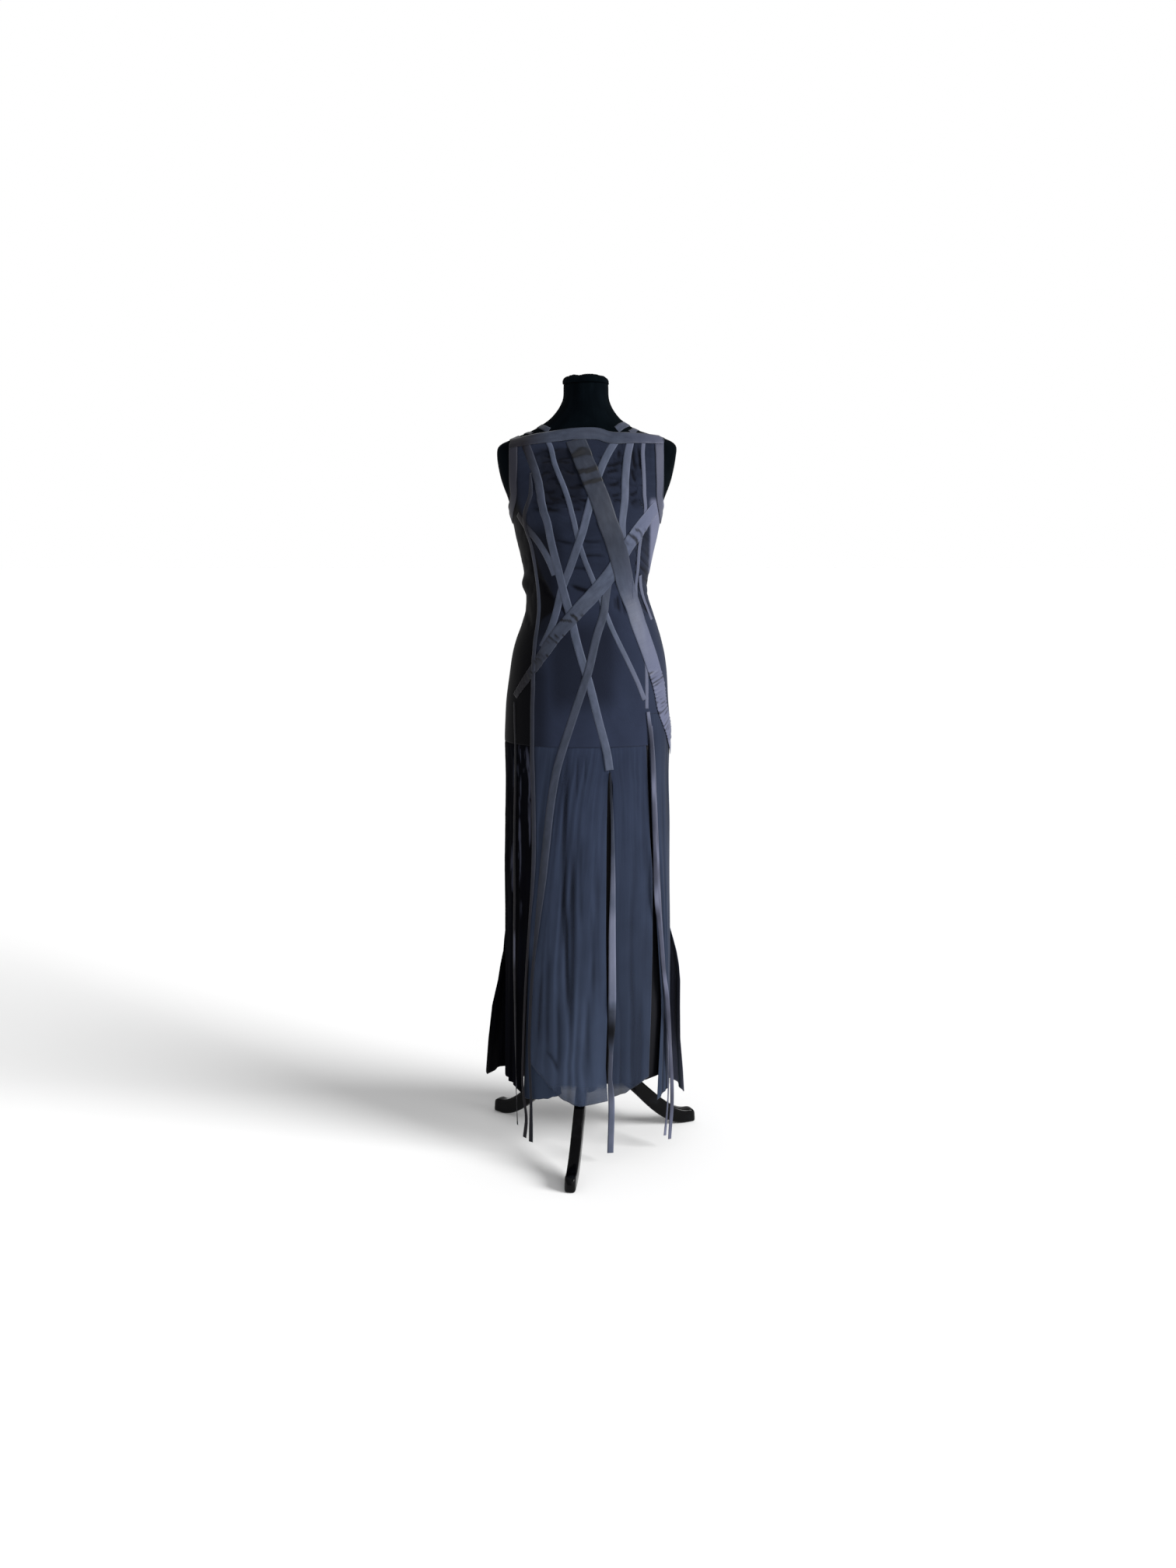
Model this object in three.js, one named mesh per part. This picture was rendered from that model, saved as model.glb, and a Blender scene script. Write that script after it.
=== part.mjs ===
// Evening gown on a limbless dress form with a three-legged stand, at full size.
// Millimetres, +Z up, the floor at z = 0, the front of the gown toward -Y.
// The origin is on the floor, in the middle of the part's footprint; the form's axis stands beside it.
// Every piece of cloth is a wall that follows one figure, described by the sections below.
import * as THREE from 'three';

const CLOTH = 1.4;          // thickness of a cloth wall
const RIBBON = 1.0;         // thickness of a ribbon
const SEAM = 0.35;          // space between two pieces at a seam
const LAY = 0.7;            // space under a ribbon
const FORM_GAP = 1.8;       // the form's skin lies this far inside the gown
const HIP_SEAM = 868;       // height of the seam between bodice and skirt
const SLIT_TOP = 930;       // height where the right slit starts, above the hip seam
const BACK_NECK = 1470;     // height of the back neckline at its middle
const ARMHOLE_X = 149;      // half the width of the bodice between the armholes
const UNDERARM = 1318;      // height of the armhole's lowest point
const BAND_WIDTH = 25;      // neckline band
const ARM_BAND_WIDTH = 18;  // armhole band
const FORM_BASE = 735;      // height of the underside of the form
const FORM_TOP = 1566;      // height of the top of the neck
const CAP_TOP = 1583;       // height of the gathered cover on the neck
const POLE_RADIUS = 13;
const HUB_RADIUS = 22;
const HUB_LOW = 112;
const HUB_HIGH = 200;
const LEG_THICK = 23;       // a leg is a board this thick
const LEG_REACH = 258;      // from the axis to the tip of a foot
const LEG_TURN = 7.5;       // degrees that the front leg is turned toward -X
const STRIP_STEP = 25;      // length of one facet along a ribbon
const AXIS_X = -14;         // the form's axis, from the middle of the part's footprint
const AXIS_Y = 25;

const BODICE_COLOUR = 0x232a3a;
const SKIRT_COLOUR = 0x333d50;
const SIDE_COLOUR = 0x14161f;
const RIBBON_COLOUR = 0x474c5c;
const LINING_COLOUR = 0x08080c;
const FORM_COLOUR = 0x0a0c11;
const STAND_COLOUR = 0x050607;

// A table with named columns, from its lowest row to its highest.
function table(columns, rows) {
  const sorted = [...rows].sort((a, b) => a[0] - b[0]);
  return columns.map((_, column) => sorted.map((row) => row[column]));
}

// A smooth curve through one column of a table, at a height.
function curve(heights, values, height) {
  const last = heights.length - 1;
  const at = Math.min(Math.max(height, heights[0]), heights[last]);
  let i = 0;
  while (i < last - 1 && at > heights[i + 1]) i += 1;
  const slope = (k) => {
    const low = Math.max(k - 1, 0);
    const high = Math.min(k + 1, last);
    return (values[high] - values[low]) / (heights[high] - heights[low]);
  };
  const h = heights[i + 1] - heights[i];
  const t = (at - heights[i]) / h;
  return (1 + 2 * t) * (1 - t) ** 2 * values[i] + t * (1 - t) ** 2 * h * slope(i)
    + t * t * (3 - 2 * t) * values[i + 1] - t * t * (1 - t) * h * slope(i + 1);
}

// A straight line from row to row of a table, at a place.
function line(places, values, place) {
  const last = places.length - 1;
  if (place <= places[0]) return values[0];
  if (place >= places[last]) return values[last];
  let i = 0;
  while (place > places[i + 1]) i += 1;
  const t = (place - places[i]) / (places[i + 1] - places[i]);
  return values[i] + t * (values[i + 1] - values[i]);
}

function ramp(from, to, value) {
  const t = Math.min(Math.max((value - from) / (to - from), 0), 1);
  return t * t * (3 - 2 * t);
}

// The figure that the gown is cut for: the inner face of the cloth at each height.
const FIGURE = table(['height', 'left', 'right', 'front', 'back', 'fullness'], [
  [1580, 44, 42, 50, 42, 2.0],
  [1560, 45, 43, 52, 44, 2.0],
  [1540, 46, 44, 54, 46, 2.0],
  [1525, 52, 49, 56, 50, 2.0],
  [1512, 61, 57, 58, 56, 2.0],
  [1500, 73, 68, 60, 60, 2.1],
  [1490, 88, 83, 61, 63, 2.1],
  [1481, 104, 99, 62, 65, 2.2],
  [1474, 120, 122, 63, 67, 2.2],
  [1468, 137, 145, 65, 69, 2.3],
  [1462, 151, 163, 67, 71, 2.3],
  [1455, 167, 174, 71, 76, 2.3],
  [1446, 176, 179, 75, 81, 2.3],
  [1430, 178, 178, 82, 90, 2.3],
  [1405, 175, 174, 93, 99, 2.3],
  [1376, 168, 167, 103, 104, 2.3],
  [1350, 159, 158, 112, 104, 2.3],
  [1322, 151, 149, 119, 101, 2.2],
  [1300, 144, 144, 122, 98, 2.1],
  [1270, 138, 138, 119, 93, 2.1],
  [1240, 131, 131, 110, 88, 2.1],
  [1210, 124, 125, 100, 84, 2.1],
  [1180, 120, 120, 93, 81, 2.1],
  [1155, 119, 122, 92, 83, 2.1],
  [1130, 121, 130, 94, 90, 2.1],
  [1100, 129, 140, 98, 101, 2.1],
  [1070, 140, 149, 102, 112, 2.1],
  [1040, 148, 156, 105, 122, 2.1],
  [1000, 154, 161, 108, 130, 2.1],
  [950, 161, 164, 110, 131, 2.1],
  [900, 164, 168, 111, 128, 2.1],
  [868, 165, 168, 111, 126, 2.1],
  [800, 164, 166, 110, 124, 2.1],
  [700, 166, 169, 110, 124, 2.1],
  [600, 168, 170, 110, 126, 2.1],
  [464, 168, 173, 111, 130, 2.1],
  [300, 170, 174, 114, 134, 2.1],
  [120, 172, 175, 120, 138, 2.1],
  [0, 172, 175, 121, 138, 2.1],
]);

// How far the back panels swing out past the figure below the knee.
const SWEEP = table(['height', 'left', 'right', 'back'], [
  [470, 0, 0, 0],
  [445, 3, 7, 3],
  [418, 5, 14, 8],
  [389, 11, 19, 13],
  [355, 16, 22, 20],
  [300, 28, 22, 34],
  [226, 36, 23, 50],
  [156, 41, 29, 62],
  [90, 43, 33, 70],
]);

// Half widths, depths and fullness of the figure at a height, swung out by a share of the sweep.
function section(height, sweep) {
  const [heights, ...columns] = FIGURE;
  const [left, right, front, back, fullness] = columns.map((c) => curve(heights, c, height));
  const [sweepHeights, ...outward] = SWEEP;
  const [outLeft, outRight, outBack] = outward.map((c) => line(sweepHeights, c, height));
  const swung = height < 470 ? sweep : 0;
  return {
    left: left + swung * outLeft,
    right: right + swung * outRight,
    front,
    back: back + swung * outBack,
    fullness,
  };
}

const power = (value, exponent) => Math.sign(value) * Math.abs(value) ** exponent;

// A point of the figure. The angle is 0 at the front and a quarter turn at +X.
function skinPoint(angle, height, sweep = 0) {
  const s = section(height, sweep);
  const bend = 2 / s.fullness;
  const side = Math.sin(angle) < 0 ? s.left : s.right;
  const depth = Math.cos(angle) < 0 ? s.back : s.front;
  return new THREE.Vector3(
    side * power(Math.sin(angle), bend), -depth * power(Math.cos(angle), bend), height);
}

// The outward direction of the figure, from two short steps on it.
function skinNormal(angle, height, sweep = 0) {
  const turn = 0.02;
  const rise = 1.5;
  const around = skinPoint(angle + turn, height, sweep).sub(skinPoint(angle - turn, height, sweep));
  const up = skinPoint(angle, height + rise, sweep).sub(skinPoint(angle, height - rise, sweep));
  return around.cross(up).normalize();
}

function liftedPoint(angle, height, lift, sweep = 0) {
  return skinPoint(angle, height, sweep).addScaledVector(skinNormal(angle, height, sweep), lift);
}

// The angle of the figure's point that lies at x, on the front or on the back.
function angleAt(x, height, onBack = false) {
  const s = section(height, 0);
  const share = Math.min(Math.abs(x) / (x < 0 ? s.left : s.right), 1);
  const angle = Math.sign(x) * Math.asin(share ** (s.fullness / 2));
  return onBack ? Math.sign(x || 1) * Math.PI - angle : angle;
}

// The angle and height of the figure's point nearest to a place near it.
function settle(place) {
  const p = place.clone();
  let angle = 0;
  for (let round = 0; round < 4; round += 1) {
    const s = section(p.z, 0);
    const side = p.x < 0 ? s.left : s.right;
    const depth = p.y < 0 ? s.front : s.back;
    angle = Math.atan2(power(p.x / side, s.fullness / 2), power(-p.y / depth, s.fullness / 2));
    const normal = skinNormal(angle, p.z);
    const off = p.clone().sub(skinPoint(angle, p.z)).dot(normal);
    p.addScaledVector(normal, -off);
  }
  return { angle, height: p.z };
}

function material(color, roughness, metalness = 0) {
  return new THREE.MeshStandardMaterial({ color, roughness, metalness, side: THREE.FrontSide });
}

function solid(name, positions, index, finish) {
  const geometry = new THREE.BufferGeometry();
  geometry.setAttribute('position', new THREE.Float32BufferAttribute(positions, 3));
  geometry.setIndex(index);
  geometry.computeVertexNormals();
  const mesh = new THREE.Mesh(geometry, finish);
  mesh.name = name;
  return mesh;
}

// A wall between an outer and an inner grid of points, closed round its four edges.
// Rows run from the top down and columns run toward +X on the front.
function wall(name, outer, inner, finish, closedRows = false) {
  const rows = outer.length;
  const columns = outer[0].length;
  const positions = [...outer.flat(), ...inner.flat()].flatMap((p) => [p.x, p.y, p.z]);
  const out = (r, c) => (r % rows) * columns + c;
  const into = (r, c) => rows * columns + (r % rows) * columns + c;
  const index = [];
  const quad = (a, b, c, d) => index.push(a, b, c, a, c, d);
  const rowSteps = closedRows ? rows : rows - 1;
  for (let r = 0; r < rowSteps; r += 1) {
    for (let c = 0; c < columns - 1; c += 1) {
      quad(out(r, c), out(r + 1, c), out(r + 1, c + 1), out(r, c + 1));
      quad(into(r, c), into(r, c + 1), into(r + 1, c + 1), into(r + 1, c));
    }
    quad(out(r, 0), into(r, 0), into(r + 1, 0), out(r + 1, 0));
    quad(out(r, columns - 1), out(r + 1, columns - 1), into(r + 1, columns - 1), into(r, columns - 1));
  }
  for (let c = 0; c < columns - 1 && !closedRows; c += 1) {
    quad(out(0, c), out(0, c + 1), into(0, c + 1), into(0, c));
    quad(out(rows - 1, c), into(rows - 1, c), into(rows - 1, c + 1), out(rows - 1, c + 1));
  }
  return solid(name, positions, index, finish);
}

// The soft swellings of the bodice cloth off the figure, in millimetres outward.
// Ruched rows cross the left of the bust, and one roll lies over the left of the waist.
const RUCHE = { depth: 1.6, left: -104, right: 4, low: 1318, high: 1436, pitch: 23.6 };
const WAIST_ROLL = { depth: 8, height: 1181, half: 17, from: 1.05 };

function rucheShare(x, height) {
  const across = ramp(RUCHE.left - 8, RUCHE.left + 12, x) * (1 - ramp(RUCHE.right - 12, RUCHE.right + 8, x));
  const along = ramp(RUCHE.low - 8, RUCHE.low + 4, height) * (1 - ramp(RUCHE.high, RUCHE.high + 6, height));
  return across * along;
}

const rucheNear = (station) => rucheShare(station.place.x * 0.93, station.height);

function waistRoll(angle, height) {
  const near = Math.exp(-(((height - WAIST_ROLL.height) / WAIST_ROLL.half) ** 2));
  const sideways = ramp(WAIST_ROLL.from, Math.PI / 2, -angle) * (1 - ramp(Math.PI / 2, 2.4, -angle));
  return WAIST_ROLL.depth * near * sideways;
}

function bodiceDrape(angle, height) {
  const at = skinPoint(angle, height);
  const onFront = Math.cos(angle) > 0 ? 1 : 0;
  const wave = 1 + Math.cos((2 * Math.PI * (height - RUCHE.low)) / RUCHE.pitch);
  return onFront * RUCHE.depth * 0.5 * wave * rucheShare(at.x, height) + waistRoll(angle, height);
}

// Height of the front neckline across the chest.
const NECKLINE = table(['x', 'height'], [
  [-147, 1453], [-121, 1458], [-81, 1469], [-48, 1477], [-20, 1480],
  [22, 1480], [45, 1473], [92, 1467], [145, 1461],
]);

const neckline = (x) => line(NECKLINE[0], NECKLINE[1], x);

// Half the angle that the bodice front or back takes up: the armhole, then the side seam.
function armholeAngle(height, side) {
  if (height <= UNDERARM) return Math.PI / 2;
  const angle = Math.abs(angleAt(side * ARMHOLE_X, height));
  return angle + (Math.PI / 2 - angle) * (1 - ramp(UNDERARM, UNDERARM + 26, height));
}

const FRONT_COLUMNS = [...Array(13).keys()].map((k) => k / 16).concat([0.757, 13 / 16, 14 / 16, 15 / 16, 1]);
const FRONT_ROWS = [1, 1452, 1443, 1436, 1424.2, 1412.4, 1400.6, 1388.8, 1377, 1365.2, 1353.4, 1341.6, 1329.8,
  1318, 1290, 1258, 1226, 1200, 1181, 1162, 1130, 1090, 1045, 990, 925, 0];

// Bodice front: rows at fixed heights between the neckline and the hip seam.
function bodiceFront() {
  const hip = (share) => (share <= 0.75 ? HIP_SEAM : SLIT_TOP) + SEAM;
  const grid = (lift) => FRONT_ROWS.map((row, r) => FRONT_COLUMNS.map((share) => {
    const guess = angleFor(share, 1440);
    const top = neckline(skinPoint(guess, 1440).x) - 1;
    const base = hip(share);
    const inBand = Math.max(Math.min(row, top - 6 - r), base + (FRONT_ROWS.length - 1 - r) * 6);
    const height = r === 0 ? top : (row === 0 ? base : inBand);
    const angle = angleFor(share, height);
    return liftedPoint(angle, height, bodiceDrape(angle, height) + lift);
  }));
  return wall('bodice_front', grid(CLOTH), grid(0), material(BODICE_COLOUR, 0.75));
}

function angleFor(share, height) {
  const left = -armholeAngle(height, -1);
  const right = armholeAngle(height, 1);
  const inset = SEAM / 2 / 140;
  return left + inset + (right - left - 2 * inset) * share;
}

// Half of the bodice back, from the middle of the back to the armhole and the side seam.
function bodiceBack(name, side) {
  const columns = 8;
  const heights = [1464, 1450, 1425, 1395, 1365, 1340, 1318, 1285, 1245, 1205, 1181, 1155, 1115, 1070, 1025,
    975, 925];
  const middle = Math.PI - SEAM / 2 / 100;
  const point = (fromMiddle, row, lift) => {
    const top = BACK_NECK - 1 - 18 * fromMiddle ** 2;
    const height = Math.min(row, top - (BACK_NECK - Math.max(row, 1425)) * 0.6);
    const edge = Math.PI - armholeAngle(height, side) + SEAM / 2 / 140;
    const angle = side * (middle + (edge - middle) * fromMiddle);
    return liftedPoint(angle, height, waistRoll(angle, height) + lift);
  };
  const rows = [BACK_NECK, ...heights, HIP_SEAM + SEAM];
  const grid = (lift) => rows.map((row) => [...Array(columns + 1).keys()].map((c) => (
    point(side > 0 ? 1 - c / columns : c / columns, row, lift))));
  return wall(name, grid(CLOTH), grid(0), material(BODICE_COLOUR, 0.75));
}

// Depth of the skirt's gathers at a height: nothing at the seam, deepest at the hem.
const GATHER = table(['height', 'front', 'back'], [
  [868, 0.4, 0.4], [800, 1.6, 2.0], [640, 2.4, 4.0], [460, 2.8, 5.5], [300, 3.2, 7.5], [90, 3.6, 9.0],
]);

// One skirt panel between two edges, from the seam to its hem, gathered into waves.
// The edges are given as x on the front, the hem as height by share of the width.
function skirtPanel(name, { left, right, top, hem, waves, finish, lift = () => 0, sweep = 0, depth = 1 }) {
  const heights = [top, top - 34, 760, 640, 520, 410, 310, 225, 0];
  const columns = waves * 4;
  const depthColumn = sweep ? 2 : 1;
  const point = (share, height, more) => {
    const from = left(height);
    const to = right(height);
    const angle = from + (to - from) * share;
    const width = skinPoint(from, height, sweep).distanceTo(skinPoint(to, height, sweep));
    const edge = ramp(0.1, 0.22, share) * (1 - ramp(0.78, 0.9, share));
    const limit = (0.14 * width) / waves;
    const gather = Math.min(depth * line(GATHER[0], GATHER[depthColumn], height), limit);
    const wave = gather * edge * Math.sin(2 * Math.PI * waves * share);
    return liftedPoint(angle, height, wave + lift(height) + more, sweep);
  };
  const grid = (more) => heights.map((row, r) => [...Array(columns + 1).keys()].map((c) => {
    const share = c / columns;
    const low = hem(share);
    const floor = low + 14 * (heights.length - 1 - r);
    const height = row === 0 ? low : Math.max(row, floor);
    return point(share, height, more);
  }));
  return wall(name, grid(CLOTH), grid(0), finish);
}

// An edge of a front panel from a table of x by height, moved sideways by part of a seam.
function frontEdge(rows, shift) {
  const [heights, places] = table(['height', 'x'], rows);
  return (height) => angleAt(line(heights, places, height) + shift, height);
}

const LEFT_SEAM = [[868, -107], [640, -107], [480, -118], [400, -122], [213, -131], [120, -134]];
const CENTRE_LEFT = [[868, -43], [819, -55], [751, -69], [652, -81], [501, -98], [402, -108], [251, -115],
  [213, -119]];
const UNDER_RIGHT = [[868, -43], [819, -55], [751, -69], [652, -81], [501, -98], [402, -108], [370, -109],
  [320, -104], [260, -88], [200, -62], [120, -46]];
const SLIT_LEFT = [[868, 45], [819, 45], [793, 42], [711, 40], [504, 39], [392, 40], [319, 42], [209, 39],
  [130, 44]];
const SLIT_RIGHT = [[868, 45], [819, 45], [793, 51], [711, 51], [602, 48], [504, 45.5], [392, 45], [319, 53],
  [209, 52], [140, 50]];
const SIDE_SLIT_LEFT = [[868, 118], [801, 121], [682, 127], [602, 133], [450, 134], [315, 132], [175, 128]];
const SIDE_SLIT_RIGHT = [[930, 121.5], [868, 124], [801, 127], [682, 132], [602, 138], [500, 142], [340, 153],
  [300, 154], [209, 150], [115, 146]];

const CENTRE_HEM = table(['share', 'height'], [
  [0, 213], [0.21, 182], [0.41, 150], [0.52, 136], [0.68, 126], [0.87, 130], [1, 136],
]);
const UNDER_HEM = table(['share', 'height'], [[0, 124], [0.38, 128], [0.72, 136], [1, 147]]);
const RIGHT_HEM = table(['share', 'height'], [[0, 141], [0.53, 156], [1, 175]]);
const SIDE_LEFT_HEM = table(['share', 'height'], [[0, 150], [0.6, 150], [1, 134]]);
const SIDE_RIGHT_HEM = table(['share', 'height'], [[0, 117], [0.4, 127], [1, 128]]);

const hemOf = (rows) => (share) => line(rows[0], rows[1], share);

function skirtFrontCentre() {
  return skirtPanel('skirt_front_centre', {
    left: frontEdge(CENTRE_LEFT, SEAM / 2),
    right: frontEdge(SLIT_LEFT, -SEAM / 2),
    top: HIP_SEAM - SEAM,
    hem: hemOf(CENTRE_HEM),
    waves: 9,
    lift: (height) => 1.5 * (1 - ramp(400, 470, height)),
    finish: material(SKIRT_COLOUR, 0.7),
  });
}

function skirtFrontLeft() {
  return skirtPanel('skirt_front_left', {
    left: frontEdge(LEFT_SEAM, SEAM / 2),
    right: frontEdge(UNDER_RIGHT, -SEAM / 2),
    top: HIP_SEAM - SEAM,
    hem: hemOf(UNDER_HEM),
    waves: 3,
    depth: 0.3,
    lift: (height) => -5.5 * (1 - ramp(400, 470, height)),
    finish: material(SKIRT_COLOUR, 0.7),
  });
}

function skirtFrontRight() {
  return skirtPanel('skirt_front_right', {
    left: frontEdge(SLIT_RIGHT, SEAM / 2),
    right: frontEdge(SIDE_SLIT_LEFT, -SEAM / 2),
    top: HIP_SEAM - SEAM,
    hem: hemOf(RIGHT_HEM),
    waves: 3,
    depth: 0.8,
    finish: material(SKIRT_COLOUR, 0.7),
  });
}

function skirtSideLeft() {
  return skirtPanel('skirt_side_left', {
    left: () => -Math.PI / 2 + SEAM / 2 / 165,
    right: frontEdge(LEFT_SEAM, -SEAM / 2),
    top: HIP_SEAM - SEAM,
    hem: hemOf(SIDE_LEFT_HEM),
    waves: 4,
    finish: material(SIDE_COLOUR, 0.8),
  });
}

function skirtSideRight() {
  return skirtPanel('skirt_side_right', {
    left: frontEdge(SIDE_SLIT_RIGHT, SEAM / 2),
    right: () => Math.PI / 2 - SEAM / 2 / 165,
    top: SLIT_TOP - SEAM,
    hem: hemOf(SIDE_RIGHT_HEM),
    waves: 4,
    finish: material(SKIRT_COLOUR, 0.75),
  });
}

// Half of the skirt back, from the side seam to the middle of the back.
function skirtBack(name, side, sideHem) {
  const middle = Math.PI - SEAM / 2 / 120;
  const seam = Math.PI / 2 + SEAM / 2 / 165;
  const backHem = 102;
  return skirtPanel(name, {
    left: () => (side > 0 ? seam : -middle),
    right: () => (side > 0 ? middle : -seam),
    top: HIP_SEAM - SEAM,
    hem: (share) => {
      const fromSide = side > 0 ? share : 1 - share;
      return sideHem + (backHem - sideHem) * ramp(0, 0.6, fromSide);
    },
    waves: 6,
    sweep: 1,
    finish: material(SIDE_COLOUR, 0.8),
  });
}

// The black tube under the skirt panels, from the hip seam to a plain hem.
function underskirt() {
  const columns = 24;
  const inset = table(['height', 'inset'], [[866, -2.4], [800, -6.5], [700, -10.5], [165, -11]]);
  const heights = [866, 790, 640, 400, 168];
  const ring = (height, lift) => [...Array(columns).keys()].map((c) => {
    const angle = ((c + 0.5) / columns) * 2 * Math.PI - Math.PI;
    return liftedPoint(angle, height, line(inset[0], inset[1], height) + lift);
  });
  const down = heights.map((height) => ring(height, CLOTH));
  const up = [...heights].reverse().map((height) => ring(height, 0));
  const loops = [...down, ...up];
  const positions = loops.flat().flatMap((p) => [p.x, p.y, p.z]);
  const index = [];
  loops.forEach((_, r) => {
    for (let c = 0; c < columns; c += 1) {
      const next = (c + 1) % columns;
      const lower = ((r + 1) % loops.length) * columns;
      index.push(r * columns + c, lower + c, lower + next, r * columns + c, lower + next, r * columns + next);
    }
  });
  return solid('underskirt', positions, index, material(LINING_COLOUR, 0.85));
}

// Stations of a ribbon that lies on the figure: places from a table of x and height.
// A row with a third value 1 is on the back, and x past the silhouette means the side seam.
function skinStations(rows, closed = false, step = STRIP_STEP) {
  const reach = 130;
  let before = angleAt(rows[0][0], rows[0][1], rows[0][2] === 1);
  const points = rows.map(([x, height, onBack = 0]) => {
    const angle = angleAt(x, height, onBack === 1);
    before = angle + 2 * Math.PI * Math.round((before - angle) / (2 * Math.PI));
    return new THREE.Vector3(before * reach, height, 0);
  });
  const path = new THREE.CatmullRomCurve3(points, closed, 'centripetal');
  const count = Math.max(3, Math.round(path.getLength() / step));
  const spaced = path.getSpacedPoints(count).slice(0, closed ? -1 : undefined);
  return spaced.map((p) => ({ angle: p.x / reach, height: p.y, place: skinPoint(p.x / reach, p.y) }));
}

function alongPath(places, i, closed) {
  const last = places.length - 1;
  const before = closed ? places[(i + last) % places.length] : places[Math.max(i - 1, 0)];
  const after = closed ? places[(i + 1) % places.length] : places[Math.min(i + 1, last)];
  return after.clone().sub(before).normalize();
}

const ON_FORM = -CLOTH - FORM_GAP; // a shoulder ribbon lies on the form, not on cloth
const laidRibbons = [];

// How high a ribbon lies at a station: over the cloth, and over any ribbon laid before it.
// It rises one facet before the crossing and comes down one facet after it.
function layHeight(station, width, own, step, ribbonsBelow) {
  const onBodice = station.height > HIP_SEAM ? bodiceDrape(station.angle, station.height) : 1.5;
  const gathered = station.height > HIP_SEAM ? 0.4 + RUCHE.depth * ramp(0, 0.3, rucheNear(station)) : 0;
  let lift = CLOTH + LAY + Math.max(onBodice, gathered) + own;
  ribbonsBelow.forEach((other) => {
    const near = (other.width + width) / 2 + 1.25 * step;
    other.stations.forEach((below, i) => {
      const next = other.stations[i + 1] ?? below;
      const facet = new THREE.Line3(below.place, next.place);
      const nearest = facet.closestPointToPoint(station.place, true, new THREE.Vector3());
      if (nearest.distanceTo(station.place) < near) {
        lift = Math.max(lift, below.lift + RIBBON + LAY, next.lift + RIBBON + LAY);
      }
    });
  });
  return lift;
}

// A ribbon laid on the gown, with its points settled on the figure across its width.
function ribbon(name, width, rows, options) {
  const { closed = false, across = 1, own = 0, step = STRIP_STEP, crosses = true } = options;
  const stations = skinStations(rows, closed, step);
  const places = stations.map((s) => s.place);
  const below = crosses ? laidRibbons : [];
  stations.forEach((s) => { s.lift = layHeight(s, width, own, step, below); });
  const grid = (more) => stations.map((s, i) => {
    const side = alongPath(places, i, closed).cross(skinNormal(s.angle, s.height)).normalize();
    return [...Array(across + 1).keys()].map((k) => {
      const place = s.place.clone().addScaledVector(side, width * (0.5 - k / across));
      const at = settle(place);
      return liftedPoint(at.angle, at.height, s.lift + more);
    });
  });
  laidRibbons.push({ width, stations });
  return wall(name, grid(RIBBON), grid(0), material(RIBBON_COLOUR, 0.6), closed);
}

// A ribbon that hangs free: rows of x, height, distance off the figure, width and turn in degrees.
function freeRibbon(name, rows, steps) {
  const path = new THREE.CatmullRomCurve3(rows.map(([x, height, out]) => (
    liftedPoint(angleAt(x, height), height, out))), false, 'centripetal');
  const heights = rows.map((row) => row[1]).reverse();
  const column = (k, height) => line(heights, rows.map((row) => row[k]).reverse(), height);
  const places = path.getSpacedPoints(steps);
  const grid = (more) => places.map((p, i) => {
    const along = alongPath(places, i, false);
    const facing = skinNormal(settle(p).angle, p.z);
    const turn = THREE.MathUtils.degToRad(column(4, p.z));
    const normal = facing.addScaledVector(along, -facing.dot(along)).normalize().applyAxisAngle(along, turn);
    const side = along.clone().cross(normal).normalize();
    const half = column(3, p.z) / 2;
    return [1, -1].map((s) => p.clone().addScaledVector(side, s * half).addScaledVector(normal, more));
  });
  return wall(name, grid(RIBBON / 2), grid(-RIBBON / 2), material(RIBBON_COLOUR, 0.6));
}

// The band round an armhole: up the front edge, over the shoulder and down the back.
function armholeBand(name, side) {
  const x = side * (ARMHOLE_X - ARM_BAND_WIDTH / 2);
  const upright = [1345, 1385, 1425, 1450];
  const front = upright.map((height) => [x, height]);
  const back = [...upright].reverse().map((height) => [x, height, 1]);
  const shoulder = [[x, side < 0 ? 1466.5 : 1469.3]];
  const underarm = [[side * 300, UNDERARM - 10]];
  return ribbon(name, ARM_BAND_WIDTH, [...underarm, ...front, ...shoulder, ...back],
    { closed: true, across: 2, own: 1.2, step: 20 });
}

function neckbandFront() {
  const drop = BAND_WIDTH / 2;
  const rows = NECKLINE[0].map((x, k) => [x, NECKLINE[1][k] - drop]);
  return ribbon('neckband_front', BAND_WIDTH, rows, { across: 2, own: -0.1, step: 14 });
}

function neckbandBack() {
  const rows = [[143, 1452], [90, 1463], [40, 1469], [-40, 1469], [-90, 1463], [-146, 1452]];
  const drop = BAND_WIDTH / 2;
  const middle = rows.map(([x, top]) => [x, top - drop, 1]);
  return ribbon('neckband_back', BAND_WIDTH, middle, { across: 2, own: 0.6, step: 14 });
}

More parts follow.
